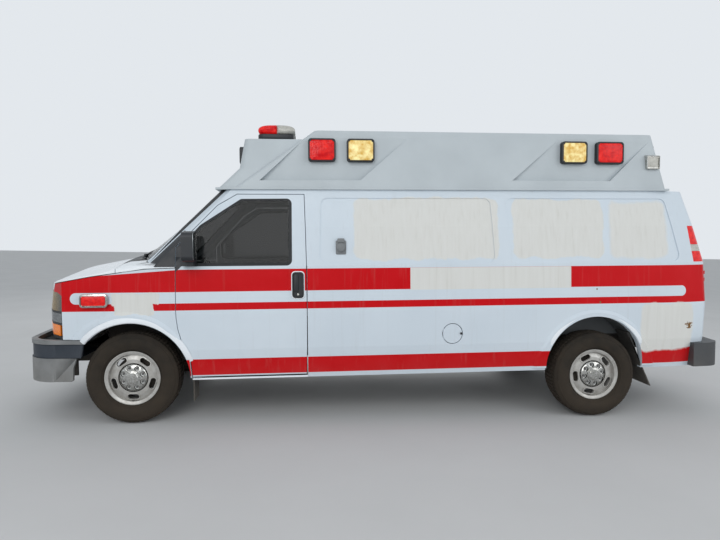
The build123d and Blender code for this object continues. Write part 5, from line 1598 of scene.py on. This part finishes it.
@dataclass
class Upholstery:
    """Cab seats and the bench pad: padded pieces swelled by cloth simulation, with seams pressed in after."""

    seat_y: float = 420.0
    half_width: float = 240.0
    cushion: tuple[Spot, ...] = ((-866.0, 872.0), (-858.0, 968.0), (-1176.0, 950.0), (-1190.0, 872.0))
    back: tuple[Spot, ...] = ((-1212.0, 955.0), (-1294.0, 1492.0), (-1388.0, 1492.0), (-1316.0, 935.0))
    headrest: tuple[Spot, ...] = ((-1302.0, 1516.0), (-1310.0, 1590.0), (-1374.0, 1590.0), (-1390.0, 1516.0))
    pressure: float = 4.0
    steps: int = 20

    def build(self) -> None:
        """Makes each pad once, twins the seats and lays the bench pad."""
        low, high = self.seat_y - self.half_width, self.seat_y + self.half_width
        seat = self.swelled(prism("seat_cushion", self.cushion, low, high), 9.0, 12.0)
        self.press_seams(seat, (low + 62, high - 62), 5.0)
        back = self.swelled(prism("seat_back", self.back, low + 6, high - 6), 9.0, 12.0)
        self.press_seams(back, (low + 66, high - 66), 5.0)
        rest = self.swelled(prism("headrest", self.headrest, self.seat_y - 130, self.seat_y + 130), 8.0, 6.0)
        for piece in (seat, back, rest):
            for copy in both_sides(smooth(piece, 60), piece.name, VINYL):
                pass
        shells = both_sides(self.shell(), "seat_shell", TRIM)
        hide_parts("seats")
        pad = self.swelled(cube("bench_pad_cover", (-4674, -924, 1052), (-2926, -556, 1124)), 12.0, 7.0)
        for x in (-4240.0, -3800.0, -3360.0):
            self.press_line(pad, 0, x, 7.0)
        dress(moved(smooth(pad, 60), SPRUNG), VINYL, "root")
        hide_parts("bench_pad")

    def shell(self) -> Piece:
        """Seat base, side covers and the posts of the headrest."""
        y0, y1 = self.seat_y - self.half_width, self.seat_y + self.half_width
        base = cube("seat_base", (-1296, y0 + 14, 861), (-872, y1 - 14, 878))
        sides = [
            round_edges(
                prism("seat_side", ((-880, 862), (-900, 905), (-1240, 925), (-1310, 862)), y - 7, y + 7),
                4.0,
            )
            for y in (y0 - 3, y1 + 3)
        ]
        spine = prism(
            "seat_spine", ((-1318, 880), (-1398, 1480), (-1404, 1480), (-1330, 880)), y0 + 20, y1 - 20
        )
        posts = [
            rod("headrest_post", ((-1342, y, 1450), (-1342, y, 1540)), 6.0)
            for y in (self.seat_y - 70, self.seat_y + 70)
        ]
        return smooth(joined("seat_shell", [round_edges(base, 3.0), round_edges(spine, 2.0)] + sides + posts))

    def swelled(self, obj: Piece, voxel: float, most: float) -> Piece:
        """Remeshes a pad and swells it as stuffed cloth, with no point moved further than a cap.

        Args:
            obj: The pad's plain form.
            voxel: Size of the new faces in mm.
            most: The cap in mm.

        Returns:
            The pad.
        """
        round_edges(obj, 18.0, 3)
        modify(obj, "REMESH", mode="VOXEL", voxel_size=voxel * MM)
        start = [vertex.co.copy() for vertex in obj.data.vertices]
        pick(obj)
        cloth = obj.modifiers.new("Cloth", "CLOTH")
        cloth.settings.use_pressure = True
        cloth.settings.uniform_pressure_force = self.pressure
        cloth.settings.effector_weights.gravity = 0.0
        cloth.settings.quality = 4
        cloth.point_cache.frame_start = 1
        cloth.point_cache.frame_end = self.steps
        for step in range(1, self.steps + 1):
            bpy.context.scene.frame_set(step)
        bpy.ops.object.modifier_apply(modifier=cloth.name)
        bpy.context.scene.frame_set(1)
        for vertex, before in zip(obj.data.vertices, start):
            step = vertex.co - before
            if step.length > most * MM:
                vertex.co = before + step.normalized() * most * MM
        return obj

    def press_line(self, obj: Piece, axis: int, at: float, depth: float) -> None:
        """Presses a sewn channel across a pad.

        Args:
            obj: The pad.
            axis: The axis the channel is square to.
            at: Its place on that axis, in mm.
            depth: Its depth in mm.
        """
        normals = [vertex.normal.copy() for vertex in obj.data.vertices]
        for vertex, normal in zip(obj.data.vertices, normals):
            away = abs(vertex.co[axis] / MM - at) / 16.0
            if away < 1 and abs(normal[axis]) < 0.6:
                vertex.co -= normal * depth * MM * (1 - away) ** 2

    def press_seams(self, obj: Piece, rows: Sequence[float], depth: float) -> None:
        """Presses the seams between the middle panel of a seat and its side bolsters."""
        for at in rows:
            self.press_line(obj, 1, at, depth)


@dataclass
class Fittings:
    """Dashboard, cabinet doors and grab rail of the inside."""

    cabinet_face: float = 560.0

    def build(self) -> None:
        """Builds the cab's and the patient space's fittings."""
        self.dashboard()
        self.cabinets()
        rail = rod(
            "grab_rail", ((-4300, 0, 1892), (-4300, 0, 1868), (-1900, 0, 1868), (-1900, 0, 1892)), 14.0
        )
        dress(moved(rail, SPRUNG), STAINLESS, "root")

    def dashboard(self) -> None:
        """Air vents, glove box lid, centre stack and its knobs."""
        parts = []
        for y in (780.0, 190.0, -190.0, -780.0):
            vent = rounded_box("vent", (-448, y - 52, 1122), (-436, y + 52, 1182), 0, 12.0, 2.0)
            pressed(vent, along(0, -1), (8.0, -6.0))
            slats = [cube("slat", (-446, y - 44, z), (-440, y + 44, z + 4)) for z in (1136, 1150, 1164)]
            parts += [vent] + slats
        lid = rounded_box("glove_lid", (-446, -720, 1084), (-438, -260, 1112), 0, 8.0, 2.0)
        stack = rounded_box("centre_stack", (-452, -120, 1084), (-436, 130, 1190), 0, 14.0, 3.0)
        knobs = [
            round_edges(disc("knob", (-456, y, 1108), 13.0, 16.0, 0, 20), 2.0) for y in (-70.0, 5.0, 80.0)
        ]
        fitted(joined("dash_fittings", parts + [lid, stack] + knobs), BLACK, "root")

    def cabinets(self) -> None:
        """Doors and pulls on the face of the left cabinets."""
        face = self.cabinet_face
        doors, pulls = [], []
        for x in (-4660.0, -3935.0, -3210.0, -2485.0):
            doors.append(
                rounded_box("cabinet_door", (x, face - 4, 700), (x + 690, face - 0.5, 1225), 1, 8.0, 1.0)
            )
            bow = ((60, -3), (60, -20), (190, -20), (190, -3))
            pulls.append(rod("pull", [(x + along_x, face + out, 1180) for along_x, out in bow], 4.0))
        fitted(joined("cabinet_doors", doors), LAMINATE, "root")
        fitted(joined("cabinet_pulls", pulls), STAINLESS, "root")


@dataclass
class Studio:
    """Floor, lights and the camera at the photograph's place."""

    camera_place: Corner = (-1421.65, 5473.90, 1507.57)
    yaw: float = 0.0944
    pitch: float = 0.0509
    roll: float = 0.0146
    lens: float = 27.04

    def build(self) -> None:
        """Adds the floor, the sky, the lamps and the camera."""
        deselect()
        bpy.ops.mesh.primitive_plane_add(size=120)
        floor = bpy.context.object
        floor.name = "studio_floor"
        paving = Finish("pale_floor", "#C9CACA", "#C2C3C3", 0.75, mottle_mm=900.0, mottle=0.5)
        floor.data.materials.append(paving.material())
        self.sky()
        for name, place, size, power in (
            ("key_light", (3.5, 9.5, 5.0), 6.0, 360.0),
            ("fill_light", (-7.0, 6.5, 4.0), 6.0, 170.0),
            ("back_light", (0.0, -9.0, 6.0), 6.0, 260.0),
        ):
            bpy.ops.object.light_add(type="AREA", location=place)
            lamp = bpy.context.object
            lamp.name = name
            lamp.data.size = size
            lamp.data.energy = power
            lamp.rotation_euler = (Vector((0, 0, 1.0)) - Vector(place)).to_track_quat("-Z", "Y").to_euler()
        self.camera()

    def sky(self) -> None:
        """Pale even sky, seen as near white by the camera and in gloss and glass."""
        world = bpy.data.worlds.new("studio_sky")
        bpy.context.scene.world = world
        world.use_nodes = True
        tree = world.node_tree
        background = tree.nodes["Background"]
        rays = add_node(tree, "LightPath")
        shown = add_node(
            tree, "Math", {0: rays.outputs["Is Camera Ray"], 1: rays.outputs["Is Glossy Ray"]},
            operation="MAXIMUM"
        )
        shown = add_node(
            tree, "Math", {0: shown, 1: rays.outputs["Is Transmission Ray"]}, operation="MAXIMUM"
        )
        strength = add_node(tree, "MapRange", {0: shown, 1: 0.0, 2: 1.0, 3: 0.62, 4: 0.9})
        tree.links.new(strength.outputs[0], background.inputs["Strength"])
        background.inputs["Color"].default_value = linear("#EEF3F8")

    def camera(self) -> None:
        """Places the camera as it was fitted to the photograph."""
        right = Vector((-math.cos(self.yaw), math.sin(self.yaw), 0))
        ahead = Vector((-math.sin(self.yaw), -math.cos(self.yaw), 0))
        up = Vector((0, 0, 1))
        view = ahead * math.cos(self.pitch) - up * math.sin(self.pitch)
        lifted = up * math.cos(self.pitch) + ahead * math.sin(self.pitch)
        across = right * math.cos(self.roll) + lifted * math.sin(self.roll)
        upright = lifted * math.cos(self.roll) - right * math.sin(self.roll)
        turn = Matrix((across, upright, -view)).transposed().to_4x4()
        bpy.ops.object.camera_add()
        camera = bpy.context.object
        camera.name = "photo_camera"
        camera.matrix_world = ROAD @ Matrix.Translation(vector(self.camera_place)) @ turn
        camera.data.lens = self.lens
        camera.data.sensor_width = 36.0
        camera.data.clip_end = 200.0
        bpy.context.scene.camera = camera


def main() -> None:
    """Builds the assemblies in order."""
    logging.basicConfig(level=logging.INFO, format="%(name)s: %(message)s")
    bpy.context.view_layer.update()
    bpy.context.scene.view_settings.view_transform = "Standard"
    assemblies = (
        Bodywork(), Wheels(), Lamps(), DoorTrim(), Underside(), Bumpers(), Upholstery(), Fittings(), Studio(),
    )
    for assembly in assemblies:
        assembly.build()
        LOG.info("%s done", type(assembly).__name__)
    deselect()


if __name__ == "__main__":
    main()
